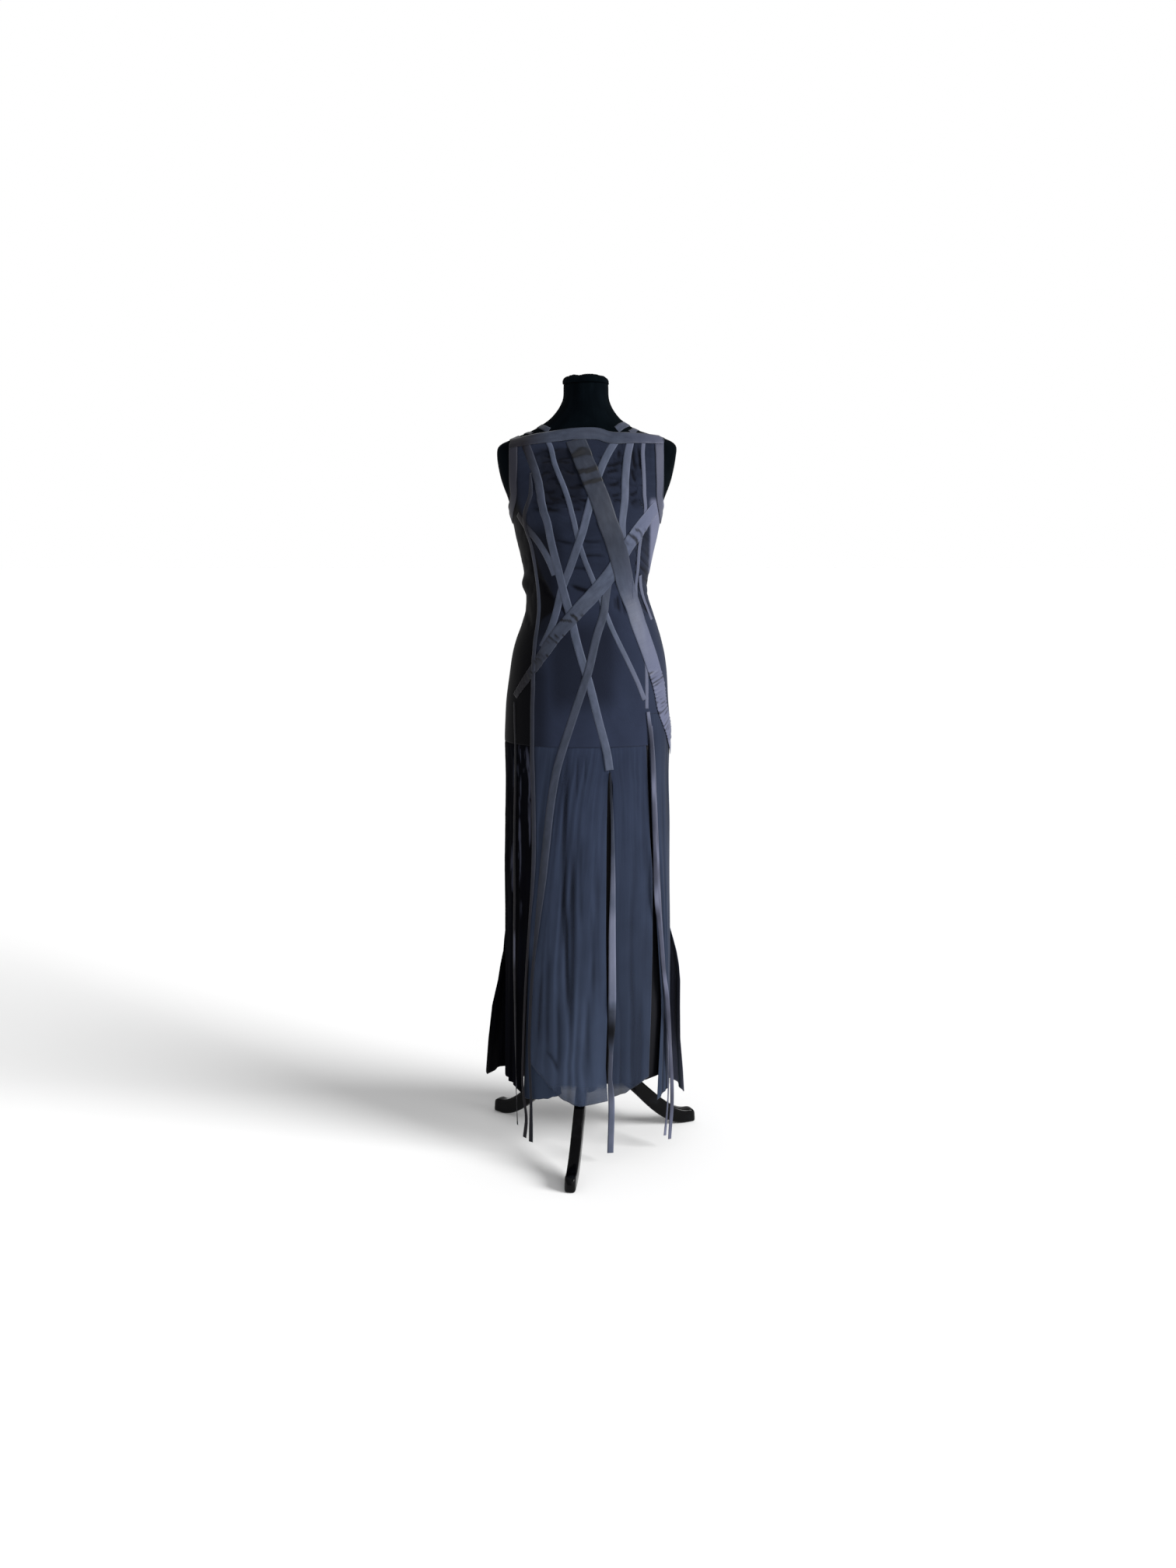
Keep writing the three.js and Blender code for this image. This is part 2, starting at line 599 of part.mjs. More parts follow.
// Narrow and wide ribbons of the gown, lowest first: name, width, facets across, x and height rows.
const RIBBONS = [
  ['ribbon_right_thin', 8, 1, [[108, 1442], [110, 1360], [112, 1319], [102, 1260], [98, 1201], [108, 1109],
    [116, 1041], [118, 940]]],
  ['ribbon_left_thin', 9, 1, [[-106, 1404], [-106, 1355], [-118, 1301], [-106, 1258], [-97, 1201], [-92, 1141],
    [-97, 1091], [-102, 1042], [-105, 966], [-105, 813], [-105, 622], [-114, 500], [-121, 400], [-128, 250],
    [-130, 150], [-123, 85], [-127, 42]]],
  ['ribbon_right_upright', 15, 1, [[81, 1441], [74, 1386], [71, 1330], [68, 1262]]],
  ['ribbon_right_short', 10, 1, [[104, 1200], [113, 1150], [128, 1112]]],
  ['ribbon_middle_thin', 10, 1, [[-69, 1444], [-60, 1410], [-37, 1352], [-20, 1288], [0, 1223], [27, 1156],
    [49, 1099], [80, 1035], [100, 992], [113, 958]]],
  ['ribbon_left_slant', 15, 1, [[-132, 1318], [-118, 1297], [-96, 1270], [-78, 1242], [-60, 1202]]],
  ['ribbon_falling_left', 15, 1, [[49, 1444], [31, 1410], [16, 1369], [-6, 1288], [-29, 1222], [-49, 1168],
    [-70, 1095], [-86, 1062]]],
  ['ribbon_falling_middle', 16, 1, [[-110, 1432], [-92, 1380], [-80, 1319], [-62, 1245], [-44, 1171],
    [-25, 1099], [1, 1007], [25, 915], [40, 856], [45, 822]]],
  ['ribbon_long_left', 16, 1, [[43, 1193], [34, 1133], [19, 1081], [1, 1007], [-20, 945], [-46, 864],
    [-59, 816], [-70, 751], [-81, 652], [-89, 580], [-98, 501], [-108, 402], [-116, 251], [-113, 130],
    [-114, 36]]],
  ['ribbon_wide_rise', 30, 3, [[133, 1330], [107, 1297], [80, 1260], [46, 1204], [13, 1164],
    [-22, 1126], [-55, 1089], [-87, 1043], [-113, 1004], [-140, 962]]],
  ['ribbon_wide_fall', 38, 4, [[-13, 1438], [11, 1379], [30, 1333], [51, 1275], [69, 1211], [88, 1147],
    [103, 1102], [128, 1033], [144, 978], [153, 931], [300, 850]]],
];

// Ribbons that hang free in the slits and beside the skirt: x, height, off the figure, width, turn.
const FREE_RIBBONS = [
  ['ribbon_slit_middle', 18, [[46, 817, 3.5, 6, 70], [51, 690, 4, 7, 40], [52, 600, 4, 10, 20],
    [51, 489, 4.5, 14, 0], [51, 342, 6, 16, 0], [48, 240, 6, 14, 62], [47, 185, 6, 14, 62],
    [50, 130, 6, 13, 12], [48, 24, 6, 13, 0]]],
  ['ribbon_slit_right', 19, [[120, 934, 2.7, 8, 0], [124, 870, 9, 9, 10], [127, 774, 11, 9, 5],
    [130, 666, 12, 9, 10], [134, 549, 12.5, 10, 10], [142, 482, 13, 10, 10], [149, 398, 13, 10, 0],
    [156, 334, 13, 11, 10], [163, 229, 13, 11, 10], [167, 113, 14, 9, 50], [164, 22, 13, 9, 30]]],
  ['ribbon_slit_right_under', 17, [[126, 905, 2.6, 7, 0], [131, 830, 5.6, 7, 0], [137, 700, 6, 7, 0],
    [144, 560, 6, 8, 0], [152, 440, 6, 8, 0], [160, 330, 6, 8, 0], [165, 220, 6, 8, 0],
    [166, 110, 6, 7, 0], [160, 32, 6, 7, 20]]],
  ['ribbon_left_hanging', 16, [[-140, 951, 5, 5, 0], [-140, 860, 2.9, 5, 0], [-141, 700, 6, 6, 0],
    [-142, 542, 6.5, 6, 0], [-143, 424, 7, 6, 0], [-142, 250, 7, 6, 15], [-141, 150, 7, 6, 60],
    [-140, 66, 6, 6, 20]]],
];

// Short ribbons over the shoulders, from the front neckline to the back: width, how far each lies
// over the form's facets, and where it meets the necklines.
const SHOULDER_RIBBONS = [
  ['shoulder_ribbon_left_inner', 12, 0.9, [[-72, 1476.5], [-84, 1483], [-400, 1487.5], [-88, 1482, 1],
    [-86, 1471, 1]]],
  ['shoulder_ribbon_left_outer', 9, 0.6, [[-106, 1471], [-113, 1473.2], [-400, 1474.4], [-114, 1473, 1],
    [-110, 1468.5, 1]]],
  ['shoulder_ribbon_right_inner', 15, 1.2, [[58, 1477.5], [70, 1486], [400, 1492], [74, 1486, 1],
    [74, 1473, 1]]],
  ['shoulder_ribbon_right_outer', 12, 0.9, [[84, 1473], [94, 1479], [400, 1481.5], [97, 1478, 1],
    [97, 1469, 1]]],
];

// The limbless torso, closed flat at the base and at the top of the neck.
function formTorso() {
  const columns = 28;
  const heights = [FORM_BASE, 748, 868, 950, 1020, 1080, 1130, 1170, 1210, 1255, 1300, 1335, 1370, 1405, 1430,
    1444, 1455, 1463, 1470, 1478, 1488, 1499, 1512, 1530, FORM_TOP];
  const inset = table(['height', 'inset'], [
    [FORM_BASE, 20], [748, 15], [800, 12], [868, 6.5], [990, 4], [1080, 3.2], [1170, 2.6], [1300, 2.8],
    [1335, 3.8], [1385, FORM_GAP], [1463, FORM_GAP], [1478, 1.2], [1512, 0], [FORM_TOP, 0],
  ]);
  const ring = (height) => [...Array(columns).keys()].map((c) => {
    const angle = (c / columns) * 2 * Math.PI - Math.PI;
    const point = skinPoint(angle, height);
    const inward = line(inset[0], inset[1], height);
    const flat = skinNormal(angle, height);
    return point.addScaledVector(flat, -inward).setZ(height === FORM_BASE ? FORM_BASE : point.z);
  });
  const loops = heights.map(ring);
  const top = new THREE.Vector3(0, 3, loops.at(-1)[0].z);
  loops.at(-1).forEach((p) => p.setZ(top.z));
  return loft('form_torso', loops, new THREE.Vector3(0, 0, FORM_BASE), top, material(FORM_COLOUR, 0.85));
}

// A closed body through rings of points, from the lowest to the highest.
function loft(name, loops, low, high, finish) {
  const columns = loops[0].length;
  const positions = [...loops.flat(), low, high].flatMap((p) => [p.x, p.y, p.z]);
  const lowIndex = loops.length * columns;
  const index = [];
  for (let c = 0; c < columns; c += 1) {
    const next = (c + 1) % columns;
    loops.slice(1).forEach((_, r) => {
      const a = r * columns;
      const b = a + columns;
      index.push(a + c, a + next, b + next, a + c, b + next, b + c);
    });
    const last = (loops.length - 1) * columns;
    index.push(lowIndex, next, c, lowIndex + 1, last + c, last + next);
  }
  return solid(name, positions, index, finish);
}

// The gathered cloth cover on top of the neck, with soft lumps round it.
function formNeckCap() {
  const columns = 28;
  const rings = table(['height', 'share'], [
    [FORM_TOP + SEAM, 1], [1571, 1.04], [1576, 1.0], [1580, 0.86], [1582, 0.55],
  ]);
  const loops = rings[0].map((height, r) => [...Array(columns).keys()].map((c) => {
    const angle = (c / columns) * 2 * Math.PI - Math.PI;
    const lump = 1 + 0.035 * Math.sin(7 * angle) * (r > 0 ? 1 : 0);
    const p = skinPoint(angle, FORM_TOP);
    const share = rings[1][r] * lump;
    return new THREE.Vector3(p.x * share, p.y * share, height + (r > 1 ? 1.2 * Math.sin(5 * angle + 1) : 0));
  }));
  const low = new THREE.Vector3(0, 3, FORM_TOP + SEAM);
  const high = new THREE.Vector3(0, 3, CAP_TOP);
  return loft('form_neck_cap', loops, low, high, material(FORM_COLOUR, 0.8));
}

function cylinder(name, radius, low, high, sides) {
  const geometry = new THREE.CylinderGeometry(radius, radius, high - low, sides);
  geometry.rotateX(Math.PI / 2);
  const mesh = new THREE.Mesh(geometry, material(STAND_COLOUR, 0.15));
  mesh.position.z = (low + high) / 2;
  mesh.name = name;
  return mesh;
}

// A leg is a curved board: its side outline, drawn from the hub to the foot, given its thickness.
function leg(name, turn) {
  const start = HUB_RADIUS + SEAM;
  const shape = new THREE.Shape();
  shape.moveTo(start, 146);
  shape.bezierCurveTo(56, 142, 92, 106, 120, 76);
  shape.bezierCurveTo(150, 42, 192, 0, 234, 0);
  shape.lineTo(LEG_REACH - 6, 0);
  shape.quadraticCurveTo(LEG_REACH, 0, LEG_REACH, 7);
  shape.quadraticCurveTo(LEG_REACH, 31, LEG_REACH - 20, 31);
  shape.bezierCurveTo(212, 31, 180, 60, 145, 94);
  shape.bezierCurveTo(112, 126, 64, 178, start, 181);
  shape.closePath();
  const board = { depth: LEG_THICK, bevelEnabled: false, curveSegments: 7 };
  const geometry = new THREE.ExtrudeGeometry(shape, board);
  geometry.translate(0, 0, -LEG_THICK / 2);
  geometry.rotateX(Math.PI / 2);
  const mesh = new THREE.Mesh(geometry, material(STAND_COLOUR, 0.12));
  mesh.rotation.z = THREE.MathUtils.degToRad(turn);
  mesh.name = name;
  return mesh;
}

function stand() {
  const group = new THREE.Group();
  const front = -90 - LEG_TURN;
  group.add(leg('leg_front', front), leg('leg_right', front + 120), leg('leg_left', front - 120));
  group.add(cylinder('stand_hub', HUB_RADIUS, HUB_LOW, HUB_HIGH, 24));
  group.add(cylinder('stand_pole', POLE_RADIUS, HUB_HIGH + SEAM, FORM_BASE - SEAM, 16));
  return group;
}

function gown() {
  const group = new THREE.Group();
  group.add(bodiceFront(), bodiceBack('bodice_back_left', -1), bodiceBack('bodice_back_right', 1));
  group.add(skirtFrontCentre(), skirtFrontLeft(), skirtFrontRight(), skirtSideLeft(), skirtSideRight());
  group.add(skirtBack('skirt_back_left', -1, 120), skirtBack('skirt_back_right', 1, 92), underskirt());
  SHOULDER_RIBBONS.forEach(([name, width, over, rows]) => {
    group.add(ribbon(name, width, rows, { own: ON_FORM + over, crosses: false }));
  });
  group.add(armholeBand('armhole_band_left', -1), armholeBand('armhole_band_right', 1));
  RIBBONS.forEach(([name, width, across, rows]) => {
    group.add(ribbon(name, width, rows, { across, own: across > 1 ? 0.5 : 0.1 }));
  });
  group.add(neckbandFront(), neckbandBack());
  FREE_RIBBONS.forEach(([name, steps, rows]) => group.add(freeRibbon(name, rows, steps)));
  return group;
}

const part = new THREE.Group();
part.position.set(AXIS_X, AXIS_Y, 0);
part.add(formTorso(), formNeckCap(), stand(), gown());

export default part;
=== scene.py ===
"""Fine surfaces and finishes of a long evening gown on a limbless form with a three-legged stand.

Sizes are written in millimetres, as a cutter would, and become metres when a mesh is made.
+Z is up and the gown's front is toward -Y. Every cloth follows one figure, so a piece is a grid
of (angle round the figure, height) with a lift off it.
"""

import logging
import math
from dataclasses import dataclass, field
from enum import Enum
from typing import Callable, Sequence

import bmesh
import bpy
import numpy as np
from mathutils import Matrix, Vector
from numpy.typing import NDArray


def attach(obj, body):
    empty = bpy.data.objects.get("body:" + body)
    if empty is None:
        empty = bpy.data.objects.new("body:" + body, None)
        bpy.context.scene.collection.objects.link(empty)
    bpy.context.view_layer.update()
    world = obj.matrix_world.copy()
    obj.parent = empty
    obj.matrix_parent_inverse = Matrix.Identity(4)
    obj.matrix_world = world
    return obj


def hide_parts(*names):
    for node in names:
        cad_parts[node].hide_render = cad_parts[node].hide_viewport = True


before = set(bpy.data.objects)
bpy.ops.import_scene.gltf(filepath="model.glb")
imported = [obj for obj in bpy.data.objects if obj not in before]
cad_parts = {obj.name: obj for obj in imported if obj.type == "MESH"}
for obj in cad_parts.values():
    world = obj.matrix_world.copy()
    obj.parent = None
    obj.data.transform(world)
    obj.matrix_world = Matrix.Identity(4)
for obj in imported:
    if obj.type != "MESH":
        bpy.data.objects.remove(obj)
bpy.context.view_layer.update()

Array = NDArray[np.float64]
Rows = tuple[tuple[float, ...], ...]

LOG = logging.getLogger("gown")
MM = 0.001
AXIS = np.array((-14.0, 25.0, 0.0))  # the form's axis, from the origin

CLOTH = 1.4          # outer face of the cloth, off the figure
CLOTH_THICK = 0.7
RIBBON_THICK = 0.5
RIBBON_STEP = 3.0    # length of one facet along a ribbon
LAYER = 0.9          # how much higher a crossing ribbon lies
HIP_SEAM = 868.0
SLIT_TOP = 930.0
BACK_NECK = 1470.0
ARMHOLE_X = 149.0
UNDERARM = 1318.0
SEAM = 0.35
SEAM_TUCK = 2.0      # how far the skirt's top runs up under the bodice
BAND_WIDTH = 25.0
ARM_BAND_WIDTH = 18.0


def ramp(low: float, high: float, value: Array) -> Array:
    """Smooth step from 0 at low to 1 at high: 3t2 - 2t3.

    Args:
        low: Place where the step starts.
        high: Place where the step ends.
        value: Places to read.

    Returns:
        Shares from 0 to 1.
    """
    t = np.clip((np.asarray(value, float) - low) / (high - low), 0.0, 1.0)
    return t * t * (3.0 - 2.0 * t)


def window(value: Array, low: float, high: float, soft: float) -> Array:
    """1 between low and high, fading to 0 over a soft edge on each side.

    Args:
        value: Places to read.
        low: Lower end of the full stretch.
        high: Upper end of the full stretch.
        soft: Length of each fading edge.

    Returns:
        Shares from 0 to 1.
    """
    return ramp(low - soft, low, value) * (1.0 - ramp(high, high + soft, value))


@dataclass(frozen=True)
class Table:
    """Rows of sizes with named columns, read at any place along the first column."""

    columns: tuple[str, ...]
    rows: Rows

    def column(self, name: str) -> tuple[Array, Array]:
        """The places and the values of one column, lowest place first.

        Args:
            name: Name of the column.

        Returns:
            Places and values.
        """
        rows = np.array(sorted(self.rows), float)
        return rows[:, 0], rows[:, self.columns.index(name)]

    def straight(self, name: str, place: Array) -> Array:
        """Values on straight lines from row to row.

        Args:
            name: Name of the column.
            place: Places to read.

        Returns:
            Values.
        """
        return np.interp(place, *self.column(name))

    def smooth(self, name: str, place: Array) -> Array:
        """Values on a cubic Hermite curve whose slope at a row runs from its lower to its upper neighbour.

        Args:
            name: Name of the column.
            place: Places to read.

        Returns:
            Values.
        """
        at, value = self.column(name)
        last = len(at) - 1
        place = np.clip(np.asarray(place, float), at[0], at[-1])
        i = np.clip(np.searchsorted(at, place, side="left") - 1, 0, last - 1)
        low, high = np.maximum(np.arange(last + 1) - 1, 0), np.minimum(np.arange(last + 1) + 1, last)
        slope = (value[high] - value[low]) / (at[high] - at[low])
        step = at[i + 1] - at[i]
        t = (place - at[i]) / step
        return (
            (1 + 2 * t) * (1 - t) ** 2 * value[i]
            + t * (1 - t) ** 2 * step * slope[i]
            + t * t * (3 - 2 * t) * value[i + 1]
            - t * t * (1 - t) * step * slope[i + 1]
        )


FIGURE = Table(("height", "left", "right", "front", "back", "fullness"), (
    (1580, 44, 42, 50, 42, 2.0), (1560, 45, 43, 52, 44, 2.0), (1540, 46, 44, 54, 46, 2.0),
    (1525, 52, 49, 56, 50, 2.0), (1512, 61, 57, 58, 56, 2.0), (1500, 73, 68, 60, 60, 2.1),
    (1490, 88, 83, 61, 63, 2.1), (1481, 104, 99, 62, 65, 2.2), (1474, 120, 122, 63, 67, 2.2),
    (1468, 137, 145, 65, 69, 2.3), (1462, 151, 163, 67, 71, 2.3), (1455, 167, 174, 71, 76, 2.3),
    (1446, 176, 179, 75, 81, 2.3), (1430, 178, 178, 82, 90, 2.3), (1405, 175, 174, 93, 99, 2.3),
    (1376, 168, 167, 103, 104, 2.3), (1350, 159, 158, 112, 104, 2.3), (1322, 151, 149, 119, 101, 2.2),
    (1300, 144, 144, 122, 98, 2.1), (1270, 138, 138, 119, 93, 2.1), (1240, 131, 131, 110, 88, 2.1),
    (1210, 124, 125, 100, 84, 2.1), (1180, 120, 120, 93, 81, 2.1), (1155, 119, 122, 92, 83, 2.1),
    (1130, 121, 130, 94, 90, 2.1), (1100, 129, 140, 98, 101, 2.1), (1070, 140, 149, 102, 112, 2.1),
    (1040, 148, 156, 105, 122, 2.1), (1000, 154, 161, 108, 130, 2.1), (950, 161, 164, 110, 131, 2.1),
    (900, 164, 168, 111, 128, 2.1), (868, 165, 168, 111, 126, 2.1), (800, 164, 166, 110, 124, 2.1),
    (700, 166, 169, 110, 124, 2.1), (600, 168, 170, 110, 126, 2.1), (464, 168, 173, 111, 130, 2.1),
    (300, 170, 174, 114, 134, 2.1), (120, 172, 175, 120, 138, 2.1), (0, 172, 175, 121, 138, 2.1),
))

SWEEP = Table(("height", "left", "right", "back"), (
    (470, 0, 0, 0), (445, 3, 7, 3), (418, 5, 14, 8), (389, 11, 19, 13), (355, 16, 22, 20),
    (300, 28, 22, 34), (226, 36, 23, 50), (156, 41, 29, 62), (90, 43, 33, 70),
))


def signed_power(value: Array, exponent: Array) -> Array:
    """The value's size to a power, with the value's sign."""
    return np.sign(value) * np.abs(value) ** exponent


@dataclass(frozen=True)
class Figure:
    """The body of sections that the gown is cut for, as superellipses at each height."""

    sizes: Table = FIGURE
    sweep: Table = SWEEP

    def section(self, height: Array, swing: float) -> dict[str, Array]:
        """Half widths, depths and fullness at a height.

        Args:
            height: Heights in mm.
            swing: Share of the sweep of the back panels below the knee.

        Returns:
            Values by column name.
        """
        sizes = {name: self.sizes.smooth(name, height) for name in self.sizes.columns[1:]}
        below = swing * (np.asarray(height) < 470)
        for name in self.sweep.columns[1:]:
            sizes[name] = sizes[name] + below * self.sweep.straight(name, height)
        return sizes

    def point(self, angle: Array, height: Array, swing: float = 0.0) -> Array:
        """Points of the figure: x = side sin(a)^(2/n), y = -depth cos(a)^(2/n), z = height.

        Args:
            angle: Angles, 0 at the front and a quarter turn at +X.
            height: Heights in mm, of the same shape.
            swing: Share of the sweep of the back panels.

        Returns:
            Points in mm from the form's axis.
        """
        angle, height = np.broadcast_arrays(np.asarray(angle, float), np.asarray(height, float))
        s = self.section(height, swing)
        bend = 2.0 / s["fullness"]
        across, along = np.sin(angle), np.cos(angle)
        side = np.where(across < 0, s["left"], s["right"])
        depth = np.where(along < 0, s["back"], s["front"])
        return np.stack([side * signed_power(across, bend), -depth * signed_power(along, bend), height], -1)

    def normal(self, angle: Array, height: Array, swing: float = 0.0) -> Array:
        """Outward directions, from two short steps on the figure.

        Args:
            angle: Angles round the figure.
            height: Heights in mm.
            swing: Share of the sweep of the back panels.

        Returns:
            Unit vectors.
        """
        around = self.point(angle + 0.02, height, swing) - self.point(angle - 0.02, height, swing)
        up = self.point(angle, height + 1.5, swing) - self.point(angle, height - 1.5, swing)
        return unit(np.cross(around, up))

    def lifted(self, angle: Array, height: Array, lift: Array, swing: float = 0.0) -> Array:
        """Points a lift in mm off the figure, along its outward direction.

        Args:
            angle: Angles round the figure.
            height: Heights in mm.
            lift: Lifts in mm.
            swing: Share of the sweep of the back panels.

        Returns:
            Points in mm from the form's axis.
        """
        angle, height = np.broadcast_arrays(np.asarray(angle, float), np.asarray(height, float))
        lift = np.broadcast_to(np.asarray(lift, float), angle.shape)
        return self.point(angle, height, swing) + self.normal(angle, height, swing) * lift[..., None]

    def angle_at(self, x: Array, height: Array, on_back: bool = False) -> Array:
        """Angle of the point of the figure that lies at x.

        Args:
            x: Places across in mm from the axis; past the outline means the side.
            height: Heights in mm.
            on_back: Whether the point is on the back.

        Returns:
            Angles.
        """
        x, height = np.broadcast_arrays(np.asarray(x, float), np.asarray(height, float))
        s = self.section(height, 0.0)
        share = np.minimum(np.abs(x) / np.where(x < 0, s["left"], s["right"]), 1.0)
        angle = np.sign(x) * np.arcsin(share ** (s["fullness"] / 2))
        return np.where(x < 0, -1.0, 1.0) * np.pi - angle if on_back else angle

    def settle(self, place: Array) -> tuple[Array, Array]:
        """Angles and heights of the figure's points nearest to places beside it, in four rounds.

        Args:
            place: Points in mm from the axis.

        Returns:
            Angles and heights.
        """
        place = np.array(place, float)
        angle = np.zeros(place.shape[:-1])
        for _ in range(4):
            s = self.section(place[..., 2], 0.0)
            side = np.where(place[..., 0] < 0, s["left"], s["right"])
            depth = np.where(place[..., 1] < 0, s["front"], s["back"])
            half = s["fullness"] / 2
            angle = np.arctan2(signed_power(place[..., 0] / side, half), signed_power(-place[..., 1] / depth, half))
            out = self.normal(angle, place[..., 2])
            off = ((place - self.point(angle, place[..., 2])) * out).sum(-1, keepdims=True)
            place = place - out * off
        return angle, place[..., 2]


def unit(vectors: Array) -> Array:
    """Vectors with their length made 1."""
    return vectors / np.maximum(np.linalg.norm(vectors, axis=-1, keepdims=True), 1e-9)


@dataclass(frozen=True)
class Unevenness:
    """Smooth random heights from -1 to 1 on a lattice of unit cells, the same on every run."""

    seed: int

    def __call__(self, u: Array, v: Array) -> Array:
        """Lattice values blended with a smooth step in both directions.

        Args:
            u: Places across, in cells.
            v: Places along, in cells.

        Returns:
            Values from -1 to 1.
        """
        u, v = np.broadcast_arrays(np.asarray(u, float), np.asarray(v, float))
        lattice = np.random.default_rng(self.seed).uniform(-1, 1, (128, 128))
        iu, iv = np.floor(u).astype(int), np.floor(v).astype(int)
        fu, fv = ramp(0, 1, u - iu), ramp(0, 1, v - iv)
        a, b = lattice[iu % 128, iv % 128], lattice[(iu + 1) % 128, iv % 128]
        c, d = lattice[iu % 128, (iv + 1) % 128], lattice[(iu + 1) % 128, (iv + 1) % 128]
        return (a * (1 - fu) + b * fu) * (1 - fv) + (c * (1 - fu) + d * fu) * fv

    def folds(self, u: Array, v: Array) -> Array:
        """Rounded tops with sharper troughs, from 0 down to -1: minus the share 1 - |n| to the third.

        Args:
            u: Places across, in cells.
            v: Places along, in cells.

        Returns:
            Values from -1 to 0.
        """
        first = 1.0 - np.abs(self(u, v))
        second = 1.0 - np.abs(self(2.1 * u + 17.3, 1.7 * v + 5.1))
        return -(0.65 * first ** 3 + 0.35 * second ** 3)


@dataclass(frozen=True)
class Crease:
    """One crease drawn on the cloth, from (x0, z0) to (x1, z1) in mm as the gown is seen from the front."""

    x0: float
    z0: float
    x1: float
    z1: float
    width: float
    depth: float
    bow: float = 0.0


def creased(x: Array, z: Array, creases: Sequence[Crease]) -> Array:
    """Height of the cloth from its creases: each is depth times exp(-(distance / width)^2), tapered at its ends.

    Args:
        x: Places across in mm.
        z: Heights in mm.
        creases: The creases, with a negative depth for a trough.

    Returns:
        Heights in mm.
    """
    total = np.zeros(np.broadcast(x, z).shape)
    for c in creases:
        run = np.array((c.x1 - c.x0, c.z1 - c.z0))
        length = float(np.hypot(*run))
        run = run / length
        t = ((x - c.x0) * run[0] + (z - c.z0) * run[1]) / length
        aside = (x - c.x0) * run[1] - (z - c.z0) * run[0] - c.bow * 4 * t * (1 - t)
        total += c.depth * np.exp(-((aside / c.width) ** 2)) * ramp(-0.05, 0.3, t) * (1 - ramp(0.7, 1.05, t))
    return total


def smooth_path(points: Array, closed: bool, step: float) -> Array:
    """Even steps along a centripetal Catmull-Rom curve through points.

    Args:
        points: Points, one row each.
        closed: Whether the curve returns to its start.
        step: Distance between two samples.

    Returns:
        Samples, one row each; a closed curve leaves out the last, which is the first again.
    """
    p = np.asarray(points, float)
    around = np.vstack([p[-1], p, p[:2]]) if closed else np.vstack([2 * p[0] - p[1], p, 2 * p[-1] - p[-2]])
    pieces = []
    t = np.linspace(0, 1, 60)[:, None]
    for k in range(len(around) - 3):
        a, b, c, d = around[k:k + 4]
        ab, bc, cd = (max(float(np.linalg.norm(q - r)), 1e-6) ** 0.5 for q, r in ((b, a), (c, b), (d, c)))
        start = ((b - a) / ab - (c - a) / (ab + bc) + (c - b) / bc) * bc
        end = ((c - b) / bc - (d - b) / (bc + cd) + (d - c) / cd) * bc
        curve = (2 * t ** 3 - 3 * t ** 2 + 1) * b + (t ** 3 - 2 * t ** 2 + t) * start
        pieces.append(curve + (3 * t ** 2 - 2 * t ** 3) * c + (t ** 3 - t ** 2) * end)
    dense = np.vstack([q[:-1] for q in pieces] + [pieces[-1][-1:]])
    run = np.concatenate([[0.0], np.cumsum(np.linalg.norm(np.diff(dense, axis=0), axis=1))])
    count = max(4, int(round(run[-1] / step)))
    at = np.linspace(0, run[-1], count + 1)
    even = np.stack([np.interp(at, run, dense[:, k]) for k in range(dense.shape[1])], 1)
    return even[:-1] if closed else even


def directions(places: Array, closed: bool) -> Array:
    """Unit directions along a path of points.

    Args:
        places: Points, one row each.
        closed: Whether the last point is followed by the first.

    Returns:
        One unit vector for each point.
    """
    if closed:
        return unit(np.roll(places, -1, 0) - np.roll(places, 1, 0))
    return unit(np.gradient(places, axis=0))


@dataclass(frozen=True)
class Cut:
    """Flat size of a sheet in metres, and its area in square metres."""

    width: float
    length: float
    area: float


def grid_mesh(
    name: str, grid: Array, uv: Array, around: bool = False, along: bool = False, shade: Array | float = 0.0,
) -> bpy.types.Object:
    """A mesh of quads on a grid of points, with a UV map named cut, in metres on the flat cloth.

    Args:
        name: Name of the object.
        grid: Points in metres, rows by columns by 3. Rows run down and columns run toward +X on the front.
        uv: Flat places in metres, rows by columns by 2.
        around: Whether the last column joins the first.
        along: Whether the last row joins the first.
        shade: Tone of the cloth at each point, from 1 for the painted shade of a deep fold to -1 for the palest painted
            light.

    Returns:
        The object, linked to the scene.
    """
    rows, columns = grid.shape[:2]
    r, c = np.indices((rows if along else rows - 1, columns if around else columns - 1))
    below, beside = (r + 1) % rows, (c + 1) % columns
    quads = np.stack([r * columns + c, below * columns + c, below * columns + beside, r * columns + beside], -1)
    faces = quads.reshape(-1, 4)
    mesh = bpy.data.meshes.new(name)
    mesh.vertices.add(rows * columns)
    mesh.vertices.foreach_set("co", grid.reshape(-1).astype(np.float32))
    mesh.loops.add(faces.size)
    mesh.loops.foreach_set("vertex_index", faces.reshape(-1).astype(np.int32))
    mesh.polygons.add(len(faces))
    mesh.polygons.foreach_set("loop_start", np.arange(0, faces.size, 4, dtype=np.int32))
    mesh.update(calc_edges=True)
    mesh.polygons.foreach_set("use_smooth", np.ones(len(faces), bool))
    layer = mesh.uv_layers.new(name="cut")
    layer.data.foreach_set("uv", uv.reshape(-1, 2)[faces.reshape(-1)].reshape(-1).astype(np.float32))
    tone = mesh.attributes.new("shade", "FLOAT", "POINT")
    tone.data.foreach_set("value", np.broadcast_to(shade, (rows, columns)).reshape(-1).astype(np.float32))
    obj = bpy.data.objects.new(name, mesh)
    bpy.context.scene.collection.objects.link(obj)
    return obj


